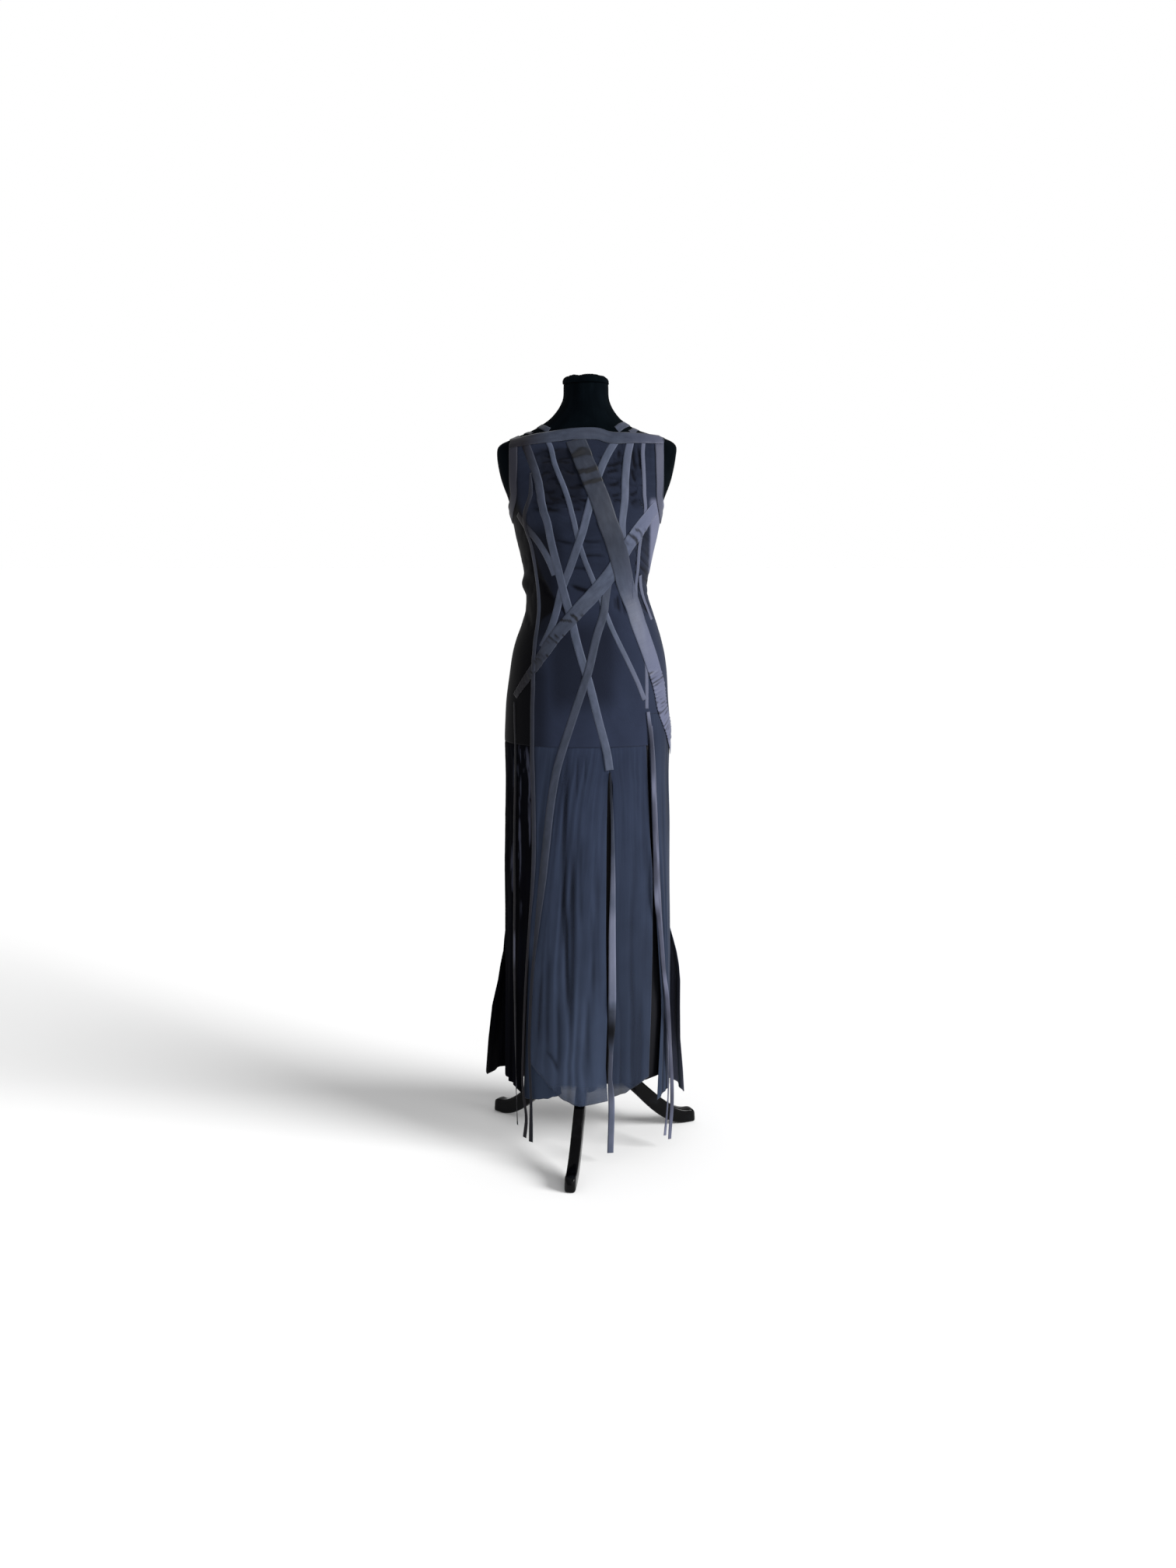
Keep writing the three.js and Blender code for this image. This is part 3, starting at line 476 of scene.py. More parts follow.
def give_thickness(obj: bpy.types.Object, thickness: float) -> None:
    """Grows a surface inward into a closed shell.

    Args:
        obj: The surface.
        thickness: Thickness in mm.
    """
    shell = obj.modifiers.new("thickness", "SOLIDIFY")
    shell.thickness = thickness * MM
    shell.offset = -1.0
    shell.use_even_offset = False
    shell.use_quality_normals = True


def flat_places(grid: Array) -> Array:
    """UV places of a cloth grid: the run across from the first column, and the run down from the first row.

    Args:
        grid: Points in metres, rows by columns by 3.

    Returns:
        Places in metres, rows by columns by 2.
    """
    across = np.linalg.norm(np.diff(grid, axis=1), axis=-1)
    along = np.linalg.norm(np.diff(grid, axis=0), axis=-1)
    u = np.concatenate([np.zeros((len(grid), 1)), np.cumsum(across, 1)], 1)
    v = np.concatenate([np.zeros((1, grid.shape[1])), np.cumsum(along, 0)], 0)
    return np.stack([u - u.mean(1, keepdims=True), -v], -1)


class Held(Enum):
    """How a sheet of cloth is held."""

    STRETCHED = "stretched"
    GATHERED = "gathered"
    HUNG = "hung"
    LAID = "laid"


def dress(
    obj: bpy.types.Object,
    node: str,
    finish: bpy.types.Material,
) -> bpy.types.Object:
    """Gives a piece its finish, and sets it in the place of its solid.

    Args:
        obj: The piece.
        node: Name of the solid that it stands for.
        finish: The material.

    Returns:
        The piece.
    """
    obj.data.materials.append(finish)
    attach(obj, "root")
    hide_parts(node)
    LOG.info("%s: %d faces", obj.name, len(obj.data.polygons))
    return obj


def linear(hex_colour: str) -> tuple[float, float, float, float]:
    """An sRGB hex colour as linear light: c / 12.92 below 0.04045, else ((c + 0.055) / 1.055)^2.4.

    Args:
        hex_colour: Such as "#333D50".

    Returns:
        Red, green, blue and 1.
    """
    parts = [int(hex_colour[k:k + 2], 16) / 255 for k in (1, 3, 5)]
    red, green, blue = (c / 12.92 if c <= 0.04045 else ((c + 0.055) / 1.055) ** 2.4 for c in parts)
    return red, green, blue, 1.0


def add_node(tree: bpy.types.NodeTree, kind: str, links: dict | None = None, **settings: object) -> bpy.types.Node:
    """Adds a shader node, sets its settings, and fills or links its inputs.

    Args:
        tree: The material's or world's node tree.
        kind: The node's type name.
        links: Input names or places, each with a value or an output socket.
        settings: The node's own settings.

    Returns:
        The node.
    """
    node = tree.nodes.new(kind)
    for name, value in settings.items():
        setattr(node, name, value)
    for place, value in (links or {}).items():
        if isinstance(value, bpy.types.NodeSocket):
            tree.links.new(value, node.inputs[place])
        else:
            node.inputs[place].default_value = value
    return node


def new_material(name: str) -> tuple[bpy.types.Material, bpy.types.NodeTree]:
    """An empty node material.

    Args:
        name: Name of the material.

    Returns:
        The material and its tree.
    """
    material = bpy.data.materials.new(name)
    material.use_nodes = True
    material.node_tree.nodes.clear()
    return material, material.node_tree


def close_material(tree: bpy.types.NodeTree, shader: bpy.types.Node) -> None:
    """Links a shader to the material's output."""
    add_node(tree, "ShaderNodeOutputMaterial", {"Surface": shader.outputs[0]})


def bands_scale(period: float) -> float:
    """Scale of a wave texture whose bands repeat every so many mm, from its built-in 20 radians a unit."""
    return math.tau / (20.0 * period * MM)


def cloth_places(tree: bpy.types.NodeTree, across: float, along: float) -> bpy.types.NodeSocket:
    """Places on the flat cloth, scaled so that one unit is across by along mm.

    Args:
        tree: The material's tree.
        across: Size of one unit across, in mm.
        along: Size of one unit along, in mm.

    Returns:
        The vector socket.
    """
    places = add_node(tree, "ShaderNodeUVMap", uv_map="cut")
    scale = (1 / (across * MM), 1 / (along * MM), 1.0)
    return add_node(tree, "ShaderNodeMapping", {"Vector": places.outputs[0], "Scale": scale}).outputs[0]


def weave_height(tree: bpy.types.NodeTree, across: float, along: float) -> bpy.types.NodeSocket:
    """Height of a plain weave: the product of two band waves, one each way of the flat cloth.

    Args:
        tree: The material's tree.
        across: Repeat of the lengthwise threads, in mm.
        along: Repeat of the crosswise threads, in mm.

    Returns:
        The height socket.
    """
    places = add_node(tree, "ShaderNodeUVMap", uv_map="cut").outputs[0]
    warp = add_node(tree, "ShaderNodeTexWave", {"Vector": places, "Scale": bands_scale(across)}, bands_direction="X")
    weft = add_node(tree, "ShaderNodeTexWave", {"Vector": places, "Scale": bands_scale(along)}, bands_direction="Y")
    both = {0: warp.outputs["Fac"], 1: weft.outputs["Fac"]}
    return add_node(tree, "ShaderNodeMath", both, operation="MULTIPLY").outputs[0]


def uneven(tree: bpy.types.NodeTree, vector: bpy.types.NodeSocket, detail: float) -> bpy.types.NodeSocket:
    """A noise of unit size on a vector.

    Args:
        tree: The material's tree.
        vector: Where the noise is read.
        detail: Number of finer layers.

    Returns:
        The noise socket, from 0 to 1.
    """
    links = {"Vector": vector, "Scale": 1.0, "Detail": detail, "Roughness": 0.55}
    return add_node(tree, "ShaderNodeTexNoise", links).outputs["Fac"]


def mixed(
    tree: bpy.types.NodeTree,
    share: bpy.types.NodeSocket,
    first: tuple[float, ...] | bpy.types.NodeSocket,
    second: tuple[float, ...] | bpy.types.NodeSocket,
) -> bpy.types.NodeSocket:
    """Two colours mixed by a share.

    Args:
        tree: The material's tree.
        share: 0 for the first and 1 for the second.
        first: Colour or socket.
        second: Colour or socket.

    Returns:
        The colour socket.
    """
    node = add_node(tree, "ShaderNodeMix", {0: share, 6: first, 7: second}, data_type="RGBA")
    return node.outputs[2]


def spread(
    tree: bpy.types.NodeTree,
    value: bpy.types.NodeSocket,
    low: float,
    high: float,
    to_low: float = 0.0,
    to_high: float = 1.0,
) -> bpy.types.NodeSocket:
    """A value moved from one range to another, and kept in it.

    Args:
        tree: The material's tree.
        value: The value.
        low: Start of its range.
        high: End of its range.
        to_low: Start of the new range.
        to_high: End of the new range.

    Returns:
        The value socket.
    """
    links = {"Value": value, 1: low, 2: high, 3: to_low, 4: to_high}
    return add_node(tree, "ShaderNodeMapRange", links, clamp=True).outputs[0]


def raised(
    tree: bpy.types.NodeTree,
    heights: Sequence[tuple[bpy.types.NodeSocket, float, float]],
) -> bpy.types.NodeSocket:
    """A normal from several heights, one bump on the next.

    Args:
        tree: The material's tree.
        heights: For each, its socket, its depth in mm and its strength.

    Returns:
        The normal socket.
    """
    normal: bpy.types.NodeSocket | None = None
    for height, depth, strength in heights:
        links = {"Height": height, "Distance": depth * MM, "Strength": strength}
        if normal is not None:
            links["Normal"] = normal
        normal = add_node(tree, "ShaderNodeBump", links).outputs[0]
    return normal


def toned(tree: bpy.types.NodeTree, cloth: bpy.types.NodeSocket, dark: str, pale: str) -> bpy.types.NodeSocket:
    """The cloth's colour darkened toward painted shade and made paler toward painted light, by the attribute named
    shade.

    Args:
        tree: The material's tree.
        cloth: The colour socket.
        dark: Colour of the painted shade, as in the folds.
        pale: Colour of the painted light.

    Returns:
        The colour socket.
    """
    tone = add_node(tree, "ShaderNodeAttribute", attribute_name="shade").outputs["Fac"]
    # Painted shade toward the dark colour, then painted light toward the pale colour.
    deep = mixed(tree, spread(tree, tone, 0.0, 1.0), cloth, linear(dark))
    return mixed(tree, spread(tree, tone, 0.0, -1.0), deep, linear(pale))


def part_of_object(tree: bpy.types.NodeTree, axis: int, low: float, high: float) -> bpy.types.NodeSocket:
    """How far along an axis of the object a point lies, as a share between two places.

    Args:
        tree: The material's tree.
        axis: 0, 1 or 2 for X, Y or Z.
        low: Place of share 0, in metres.
        high: Place of share 1, in metres.

    Returns:
        The share socket.
    """
    places = add_node(tree, "ShaderNodeTexCoord").outputs["Object"]
    parts = add_node(tree, "ShaderNodeSeparateXYZ", {0: places})
    return spread(tree, parts.outputs[axis], low, high)


@dataclass(frozen=True)
class Chiffon:
    """Silk chiffon over a lining: matt crepe yarns with a faint sheen, with painted shade in the gathers.

    The thread spacing of the real cloth, about 0.3 mm, is drawn at 2 mm so that it shows.
    """

    name: str
    colour: str
    low_colour: str
    # Colour of the painted light on the tops of the streaks.
    lighter: str
    low: float = 0.15
    high: float = 0.85
    sheen: float = 0.08
    opacity: float = 1.0
    streak_across: float = 7.0
    streak_along: float = 190.0
    streak_depth: float = 0.35
    thread: float = 2.0

    def material(self) -> bpy.types.Material:
        """Colour by height and long streaks with painted light on their tops, painted shade and light by the shade
        attribute, and the streaks, a crepe weave and fine gathers as bump.

        Returns:
            The material.
        """
        material, tree = new_material(self.name)
        height = part_of_object(tree, 2, self.low, self.high)
        cloth = mixed(tree, height, linear(self.low_colour), linear(self.colour))
        streak = uneven(tree, cloth_places(tree, self.streak_across, self.streak_along), 4.0)
        patch = uneven(tree, cloth_places(tree, 70.0, 110.0), 2.0)
        # Painted light on the tops of the streaks: the same noise raises the bump.
        cloth = mixed(tree, spread(tree, streak, 0.45, 0.8, 0.0, 0.55), cloth, linear(self.lighter))
        cloth = mixed(tree, spread(tree, patch, 0.35, 0.7, 0.0, 0.22), cloth, linear("#0C0F18"))
        # Painted shade in the folds and painted light, by the shade attribute.
        cloth = toned(tree, cloth, "#050508", "#5F6276")
        normal = raised(tree, (
            (streak, self.streak_depth, 0.55),
            (uneven(tree, cloth_places(tree, 5.0, 7.0), 3.0), 0.12, 0.25),
            (weave_height(tree, self.thread, self.thread), 0.05, 0.16),
        ))
        shader = add_node(tree, "ShaderNodeBsdfPrincipled", {
            "Base Color": cloth, "Roughness": 0.85, "IOR": 1.5, "Specular IOR Level": 0.02,
            "Sheen Weight": self.sheen, "Sheen Roughness": 0.45, "Normal": normal,
        })
        if self.opacity < 1:
            single = part_of_object(tree, 2, 0.158, 0.172)
            tree.links.new(spread(tree, single, 0.0, 1.0, self.opacity, 0.93), shader.inputs["Alpha"])
        close_material(tree, shader)
        return material


class Sheen(Enum):
    """Face of a ribbon."""

    RIBBED = "ribbed"
    SATIN = "satin"


@dataclass(frozen=True)
class RibbonFinish:
    """Woven ribbon: grosgrain has raised cross ribs and satin long smooth floats; both have firm edges.

    The real ribs, about 0.8 mm apart, are drawn at 1.8 mm so that they show.
    """

    name: str
    colour: str
    lighter: str
    # Colours of the painted shade on the gown's left and the painted light on its right.
    left: str
    right: str
    face: Sheen
    rib: float = 1.8

    def material(self) -> bpy.types.Material:
        """Cross ribs and uneven soft wear along the length.

        Returns:
            The material.
        """
        material, tree = new_material(self.name)
        places = add_node(tree, "ShaderNodeUVMap", uv_map="cut").outputs[0]
        ribs = add_node(tree, "ShaderNodeTexWave", {"Vector": places, "Scale": bands_scale(self.rib)},
                        bands_direction="Y").outputs["Fac"]
        wear = uneven(tree, cloth_places(tree, 9.0, 26.0), 3.0)
        crinkle = uneven(tree, cloth_places(tree, 60.0, 7.0), 3.0)
        cloth = mixed(tree, spread(tree, wear, 0.35, 0.7), linear(self.colour), linear(self.lighter))
        # Painted light toward the gown's right and painted shade toward its left, by the object's X.
        cloth = mixed(tree, part_of_object(tree, 0, 0.05, 0.13), cloth, linear(self.right))
        cloth = mixed(tree, part_of_object(tree, 0, -0.135, -0.085), linear(self.left), cloth)
        # Painted shade and light, by the shade attribute.
        cloth = toned(tree, cloth, "#06080F", "#6A6D80")
        satin = self.face is Sheen.SATIN
        normal = raised(tree, (
            (crinkle, 0.7 if satin else 0.35, 0.4),
            (ribs, 0.10, 0.25 if satin else 0.5),
        ))
        shader = add_node(tree, "ShaderNodeBsdfPrincipled", {
            "Base Color": cloth, "Roughness": 0.5 if satin else 0.62, "IOR": 1.5,
            "Specular IOR Level": 0.22 if satin else 0.15, "Anisotropic": 0.4 if satin else 0.0,
            "Sheen Weight": 0.1, "Sheen Roughness": 0.35, "Normal": normal,
        })
        close_material(tree, shader)
        return material


@dataclass(frozen=True)
class JerseyFinish:
    """Cotton jersey pulled tight over a form: fine wales run up and down, and the light dies in the loops."""

    name: str
    colour: str
    wale: float = 1.6

    def material(self) -> bpy.types.Material:
        """Wales, a crosswise ladder of loops and faint dust.

        Returns:
            The material.
        """
        material, tree = new_material(self.name)
        dust = uneven(tree, cloth_places(tree, 35.0, 50.0), 4.0)
        cloth = mixed(tree, spread(tree, dust, 0.4, 0.75, 0.0, 0.6), linear(self.colour), linear("#070D12"))
        normal = raised(tree, (
            (uneven(tree, cloth_places(tree, 18.0, 60.0), 2.0), 0.5, 0.3),
            (weave_height(tree, self.wale, 0.8 * self.wale), 0.12, 0.5),
        ))
        shader = add_node(tree, "ShaderNodeBsdfPrincipled", {
            "Base Color": cloth, "Roughness": 0.9, "Specular IOR Level": 0.02, "Normal": normal,
        })
        close_material(tree, shader)
        return material


@dataclass(frozen=True)
class LacquerFinish:
    """Black lacquer brushed on beech: glassy, with faint brush lines and a duller rubbed edge."""

    name: str
    colour: str

    def material(self) -> bpy.types.Material:
        """A clear coat over black, rubbed unevenly.

        Returns:
            The material.
        """
        material, tree = new_material(self.name)
        places = add_node(tree, "ShaderNodeTexCoord").outputs["Object"]
        rubbed = add_node(tree, "ShaderNodeTexNoise", {"Vector": places, "Scale": 38.0, "Detail": 5.0}).outputs["Fac"]
        wavy = add_node(tree, "ShaderNodeTexNoise", {"Vector": places, "Scale": 90.0, "Detail": 2.0}).outputs["Fac"]
        cloth = mixed(tree, spread(tree, rubbed, 0.55, 0.8, 0.0, 0.5), linear(self.colour), linear("#14161A"))
        rough = spread(tree, rubbed, 0.3, 0.75, 0.1, 0.26)
        shader = add_node(tree, "ShaderNodeBsdfPrincipled", {
            "Base Color": cloth, "Roughness": rough, "IOR": 1.5, "Specular IOR Level": 0.06,
            "Coat Weight": 0.1, "Coat Roughness": 0.03,
            "Normal": raised(tree, ((wavy, 0.25, 0.25),)),
        })
        close_material(tree, shader)
        return material


@dataclass(frozen=True)
class LiningFinish:
    """Black acetate lining: a close plain weave with a low gloss."""

    name: str
    colour: str

    def material(self) -> bpy.types.Material:
        """A plain weave, and long soft folds with painted light on their tops.

        Returns:
            The material.
        """
        material, tree = new_material(self.name)
        folds = uneven(tree, cloth_places(tree, 16.0, 220.0), 3.0)
        # Painted light on the tops of the folds: the same noise raises the bump.
        cloth = mixed(tree, spread(tree, folds, 0.4, 0.75), linear(self.colour), linear("#0E0F14"))
        normal = raised(tree, ((folds, 1.2, 0.4), (weave_height(tree, 1.2, 1.2), 0.05, 0.4)))
        shader = add_node(tree, "ShaderNodeBsdfPrincipled", {
            "Base Color": cloth, "Roughness": 0.6, "Specular IOR Level": 0.1, "Normal": normal,
        })
        close_material(tree, shader)
        return material


@dataclass
class Finishes:
    """The finishes of the part, each made once."""

    bodice: bpy.types.Material = field(init=False)
    skirt: bpy.types.Material = field(init=False)
    sheer: bpy.types.Material = field(init=False)
    side: bpy.types.Material = field(init=False)
    teal: bpy.types.Material = field(init=False)
    grosgrain: bpy.types.Material = field(init=False)
    satin: bpy.types.Material = field(init=False)
    lining: bpy.types.Material = field(init=False)
    jersey: bpy.types.Material = field(init=False)
    lacquer: bpy.types.Material = field(init=False)

    def __post_init__(self) -> None:
        """Makes the materials."""
        # A chiffon's third colour is the painted light on the tops of its streaks.
        self.bodice = Chiffon("midnight silk chiffon, ruched", "#1D2230", "#252B3C", "#232938", low=0.9, high=1.3,
                              streak_across=60.0, streak_along=9.0, streak_depth=0.9).material()
        self.skirt = Chiffon("slate blue silk chiffon, gathered", "#282F40", "#333D50", "#343D50").material()
        self.sheer = Chiffon("slate blue silk chiffon, sheer", "#282F41", "#363F52", "#353F53",
                             opacity=0.74).material()
        self.side = Chiffon("black-blue silk chiffon, gathered", "#040407", "#030306", "#090A10",
                            sheen=0.0).material()
        self.teal = Chiffon("teal black silk chiffon, flared", "#0D1018", "#26323F", "#1C2530",
                            low=0.1, high=0.6, sheen=0.03).material()
        # A ribbon's third and fourth colours are its painted shade on the gown's left and its painted light on the
        # right.
        self.grosgrain = RibbonFinish("grosgrain ribbon, woven rayon", "#3A4150", "#454B5D", "#131117",
                                      "#4E5163", Sheen.RIBBED).material()
        self.satin = RibbonFinish("satin ribbon, woven rayon", "#363D4E", "#424A5C", "#1B1820", "#4F5368",
                                  Sheen.SATIN, rib=2.4).material()
        self.lining = LiningFinish("acetate lining, woven", "#07070B").material()
        self.jersey = JerseyFinish("cotton jersey, stretched", "#020508").material()
        self.lacquer = LacquerFinish("black lacquer on turned beech", "#020203").material()


FIG = Figure()
NECKLINE = Table(("x", "height"), (
    (-147, 1453), (-121, 1458), (-81, 1469), (-48, 1477), (-20, 1480),
    (22, 1480), (45, 1473), (92, 1467), (145, 1461),
))
GATHER = Table(("height", "front", "back"), (
    (868, 0.4, 0.4), (800, 1.6, 2.0), (640, 2.4, 4.0), (460, 2.8, 5.5), (300, 3.2, 7.5), (90, 3.6, 9.0),
))


def waist_roll(angle: Array, height: Array) -> Array:
    """The roll of cloth over the left of the waist: 8 mm times exp(-((z - 1181) / 17)^2), on the left side.

    Args:
        angle: Angles round the figure.
        height: Heights in mm.

    Returns:
        Lifts in mm.
    """
    near = np.exp(-(((height - 1181.0) / 17.0) ** 2))
    sideways = ramp(1.05, math.pi / 2, -angle) * (1 - ramp(math.pi / 2, 2.4, -angle))
    return 8.0 * near * sideways


def bodice_drape(angle: Array, height: Array) -> Array:
    """The large soft swellings of the bodice: ruched waves 23.6 mm apart on the left bust, and the waist roll.

    Args:
        angle: Angles round the figure.
        height: Heights in mm.

    Returns:
        Lifts in mm.
    """
    x = FIG.point(angle, height)[..., 0]
    region = window(x, -92, -8, 20) * window(height, 1322, 1436, 8)
    wave = 0.8 * (1 + np.cos(math.tau * (height - 1318) / 23.6))
    return np.where(np.cos(angle) > 0, region * wave, 0.0) + waist_roll(angle, height)


def armhole_angle(height: Array, side: int) -> Array:
    """Half the angle that the bodice front or back takes up: the armhole, then the side seam.

    Args:
        height: Heights in mm.
        side: -1 for the left of the front view and 1 for the right.

    Returns:
        Angles from the middle of the front.
    """
    angle = np.abs(FIG.angle_at(np.full(np.shape(height), side * ARMHOLE_X), height))
    open_part = angle + (math.pi / 2 - angle) * (1 - ramp(UNDERARM, UNDERARM + 26, height))
    return np.where(height <= UNDERARM, math.pi / 2, open_part)


BODICE_CREASES = (
    Crease(-33, 1184, 22, 1167, 3.6, -3.0, 3), Crease(-14, 1236, 36, 1238, 2.8, -1.8, -2),
    Crease(-84, 1178, -50, 1150, 5.0, -2.8, 4), Crease(-14, 1268, 30, 1266, 2.6, -1.8, 2),
    Crease(-66, 1272, -22, 1262, 2.8, -1.9, 2), Crease(-40, 1214, 10, 1210, 2.8, -1.4, -3),
    Crease(-78, 1328, -48, 1326, 2.6, -1.8, 3), Crease(-36, 1326, -8, 1323, 2.6, -1.7, -2),
    Crease(-88, 1410, -66, 1414, 3.0, -2.6, -3), Crease(-54, 1418, -28, 1414, 3.2, -2.6, 2),
    Crease(-88, 1388, -66, 1394, 3.0, -2.6, -4), Crease(-44, 1400, -18, 1394, 3.2, -2.8, 3),
    Crease(-82, 1376, -56, 1382, 2.8, -2.4, -3), Crease(-36, 1364, -4, 1368, 3.4, -3.0, -2),
    Crease(-82, 1360, -58, 1360, 2.6, -2.2, 2), Crease(-74, 1348, -44, 1346, 2.6, -2.4, 2),
    Crease(-16, 1346, 6, 1342, 3.0, -2.6, 2), Crease(-86, 1426, -58, 1428, 2.6, -2.0, 2),
    Crease(-50, 1344, -20, 1350, 2.4, -2.0, -2), Crease(-90, 1338, -60, 1337, 2.2, -1.8, 1),
    Crease(34, 1408, 66, 1416, 3.0, -2.4, 3), Crease(36, 1392, 62, 1398, 2.8, -2.2, -3),
    Crease(42, 1372, 64, 1380, 3.0, -2.6, 3), Crease(46, 1352, 64, 1356, 2.8, -2.4, 2),
    Crease(50, 1340, 66, 1343, 2.6, -2.0, -2), Crease(86, 1404, 96, 1374, 2.8, -2.2, 2),
    Crease(80, 1352, 98, 1362, 2.8, -2.2, 2), Crease(84, 1334, 96, 1344, 2.4, -1.8, -1),
    Crease(86, 1446, 96, 1398, 2.6, -2.4, 2), Crease(98, 1446, 103, 1400, 2.4, -1.8, -1),
    Crease(64, 1440, 61, 1420, 2.4, -1.4, 1), Crease(-104, 1250, -98, 1200, 4.0, -2.0, 3),
    Crease(-116, 1140, -108, 1095, 4.5, -1.8, 2), Crease(60, 1166, 64, 1128, 2.6, -2.4, 1),
    Crease(54, 1160, 56, 1134, 2.2, -1.6, 0), Crease(70, 1160, 76, 1120, 2.4, -1.4, 1),
    Crease(-52, 1146, -30, 1122, 5.0, -2.4, 2), Crease(-96, 1196, -72, 1168, 5.0, -2.2, -3),
)
BLACK_FLANK = Table(("height", "x"), (
    (1470, -144), (1345, -134), (1304, -120), (1260, -102), (1216, -90), (1190, -79), (1160, -64),
    (1135, -60), (1112, -86), (1070, -98), (1036, -102), (960, -106), (868, -107),
))


@dataclass(frozen=True)
class Bodice:
    """Ruched chiffon bodice: one front and two back pieces, cut to the hip seam."""

    finishes: Finishes
    rows: int = 200
    front_columns: int = 130
    back_columns: int = 70
    slit_share: float = 0.7535

    def wrinkles(self, x: Array, z: Array) -> Array:
        """Ruching by region: sideways folds on the bust and middle, upright pleats under the neckline,
        tight tucks on the right flank, and slack cloth on the left of the waist.

        Args:
            x: Places across in mm.
            z: Heights in mm.

        Returns:
            Lifts in mm, at most 0.
        """
        left = window(x, -96, -6, 12) * window(z, 1326, 1436, 10)
        right = window(x, 26, 106, 12) * window(z, 1334, 1432, 12)
        middle = window(x, -60, 56, 16) * window(z, 1180, 1318, 16)
        flank = window(x, 96, 120, 5) * window(z, 1130, 1286, 14)
        slack = (1 - ramp(-112, -86, x)) * window(z, 1110, 1312, 24)
        pleats = window(x, 56, 120, 8) * ramp(1380, 1428, z)
        return (
            2.6 * left * Unevenness(11).folds(x / 38, z / 12)
            + 1.4 * right * Unevenness(12).folds(x / 24 + z / 60, z / 13)
            + 0.6 * middle * Unevenness(13).folds(x / 60, z / 16)
            + 2.6 * flank * Unevenness(14).folds(x / 40, (z + 0.9 * x) / 10)
            + 1.5 * slack * Unevenness(15).folds(x / 14, z / 26)
            + 1.0 * pleats * Unevenness(16).folds(x / 8, z / 90)
            + 0.18 * Unevenness(17)(x / 16, z / 22)
        )

    def tone(self, x: Array, z: Array, relief: Array) -> Array:
        """Tone of the front: painted shade in the folds, partly the real darkening of layered sheer cloth; dark on the
        left flank, on the left of the bust and waist and between the hips; painted light on the right flank.

        Args:
            x: Places across in mm.
            z: Heights in mm.
            relief: Depth of the folds in mm, 0 or less.

        Returns:
            Tones from -1 to 1.
        """
        edge = BLACK_FLANK.smooth("x", z)
        flank = 1 - ramp(edge - 6, edge + 14, x)
        patch = 0.62 * window(x, -84, -14, 12) * window(z, 1340, 1434, 12)
        waist = 0.7 * (1 - ramp(-74, -30, x)) * window(z, 1090, 1270, 40)
        hips = 0.5 * window(x, -50, 36, 40) * window(z, 975, 1080, 60)
        low_left = 0.55 * (1 - ramp(-96, -60, x)) * (1 - ramp(1000, 1060, z))
        # Painted light on the right flank.
        pale = 0.85 * ramp(118, 127, x) * window(z, 1205, 1338, 14)
        dark = np.maximum.reduce([patch, flank, waist, hips, low_left])
        # Painted shade in the folds, partly the real darkening of layered sheer cloth.
        return np.maximum(0.88 * np.clip(-relief / 2.6, 0, 1), dark) - pale

    def front(self) -> bpy.types.Object:
        """The front, from the neckline to the hip seam, its right end above the side slit.

        Returns:
            The piece.
        """
        share = np.linspace(0, 1, self.front_columns)[None, :]
        guess_left, guess_right = armhole_angle(np.float64(1440), -1), armhole_angle(np.float64(1440), 1)
        guess = -guess_left + (guess_left + guess_right) * share
        top = NECKLINE.straight("height", FIG.point(guess, np.full(guess.shape, 1440.0))[..., 0]) - 1
        base = np.where(share <= self.slit_share, HIP_SEAM, SLIT_TOP) - 1.0
        down = np.linspace(0, 1, self.rows)[:, None]
        height = top - (top - base) * down
        inset = SEAM / 2 / 140
        low, high = -armhole_angle(height, -1) + inset, armhole_angle(height, 1) - inset
        angle = low + (high - low) * share
        x = FIG.point(angle, height)[..., 0]
        relief = self.wrinkles(x, height) + ramp(0.0, 0.3, np.cos(angle)) * creased(x, height, BODICE_CREASES)
        relief = np.maximum(relief, -2.5)
        lift = CLOTH + bodice_drape(angle, height) + relief
        grid = (FIG.lifted(angle, height, lift) + AXIS) * MM
        return self.finish("bodice_front", grid, self.tone(x, height, relief))

    def back(self, node: str, side: int) -> bpy.types.Object:
        """One half of the back, from the centre seam to the armhole and the side seam.

        Args:
            node: Name of its solid.
            side: -1 for the left of the front view and 1 for the right.

        Returns:
            The piece.
        """
        share = np.linspace(0, 1, self.back_columns)[None, :]
        top = BACK_NECK - 1 - 18 * share ** 2
        down = np.linspace(0, 1, self.rows)[:, None]
        height = top - (top - HIP_SEAM + 1.0) * down
        middle = math.pi - SEAM / 2 / 100
        edge = math.pi - armhole_angle(height, side) + SEAM / 2 / 140
        angle = side * (middle + (edge - middle) * share)
        if side > 0:
            angle, height = angle[:, ::-1], height[:, ::-1]
        run = 110 * (math.pi - np.abs(angle))
        waist = window(height, 1130, 1250, 30)
        lift = CLOTH + waist_roll(angle, height)
        lift = lift + 1.4 * waist * Unevenness(21 + side).folds(run / 50, height / 15)
        lift = lift + 0.9 * Unevenness(31 + side).folds(run / 30, height / 120) * ramp(1260, 1420, height)
        lift = lift + 0.2 * Unevenness(41 + side)(run / 18, height / 24)
        grid = (FIG.lifted(angle, height, lift) + AXIS) * MM
        away = np.abs(angle) - math.pi / 2
        dark = 0.92 - 0.37 * ramp(0.5, 1.4, away) if side < 0 else 0.55 * ramp(0.0, 0.8, away)
        return self.finish(node, grid, dark)

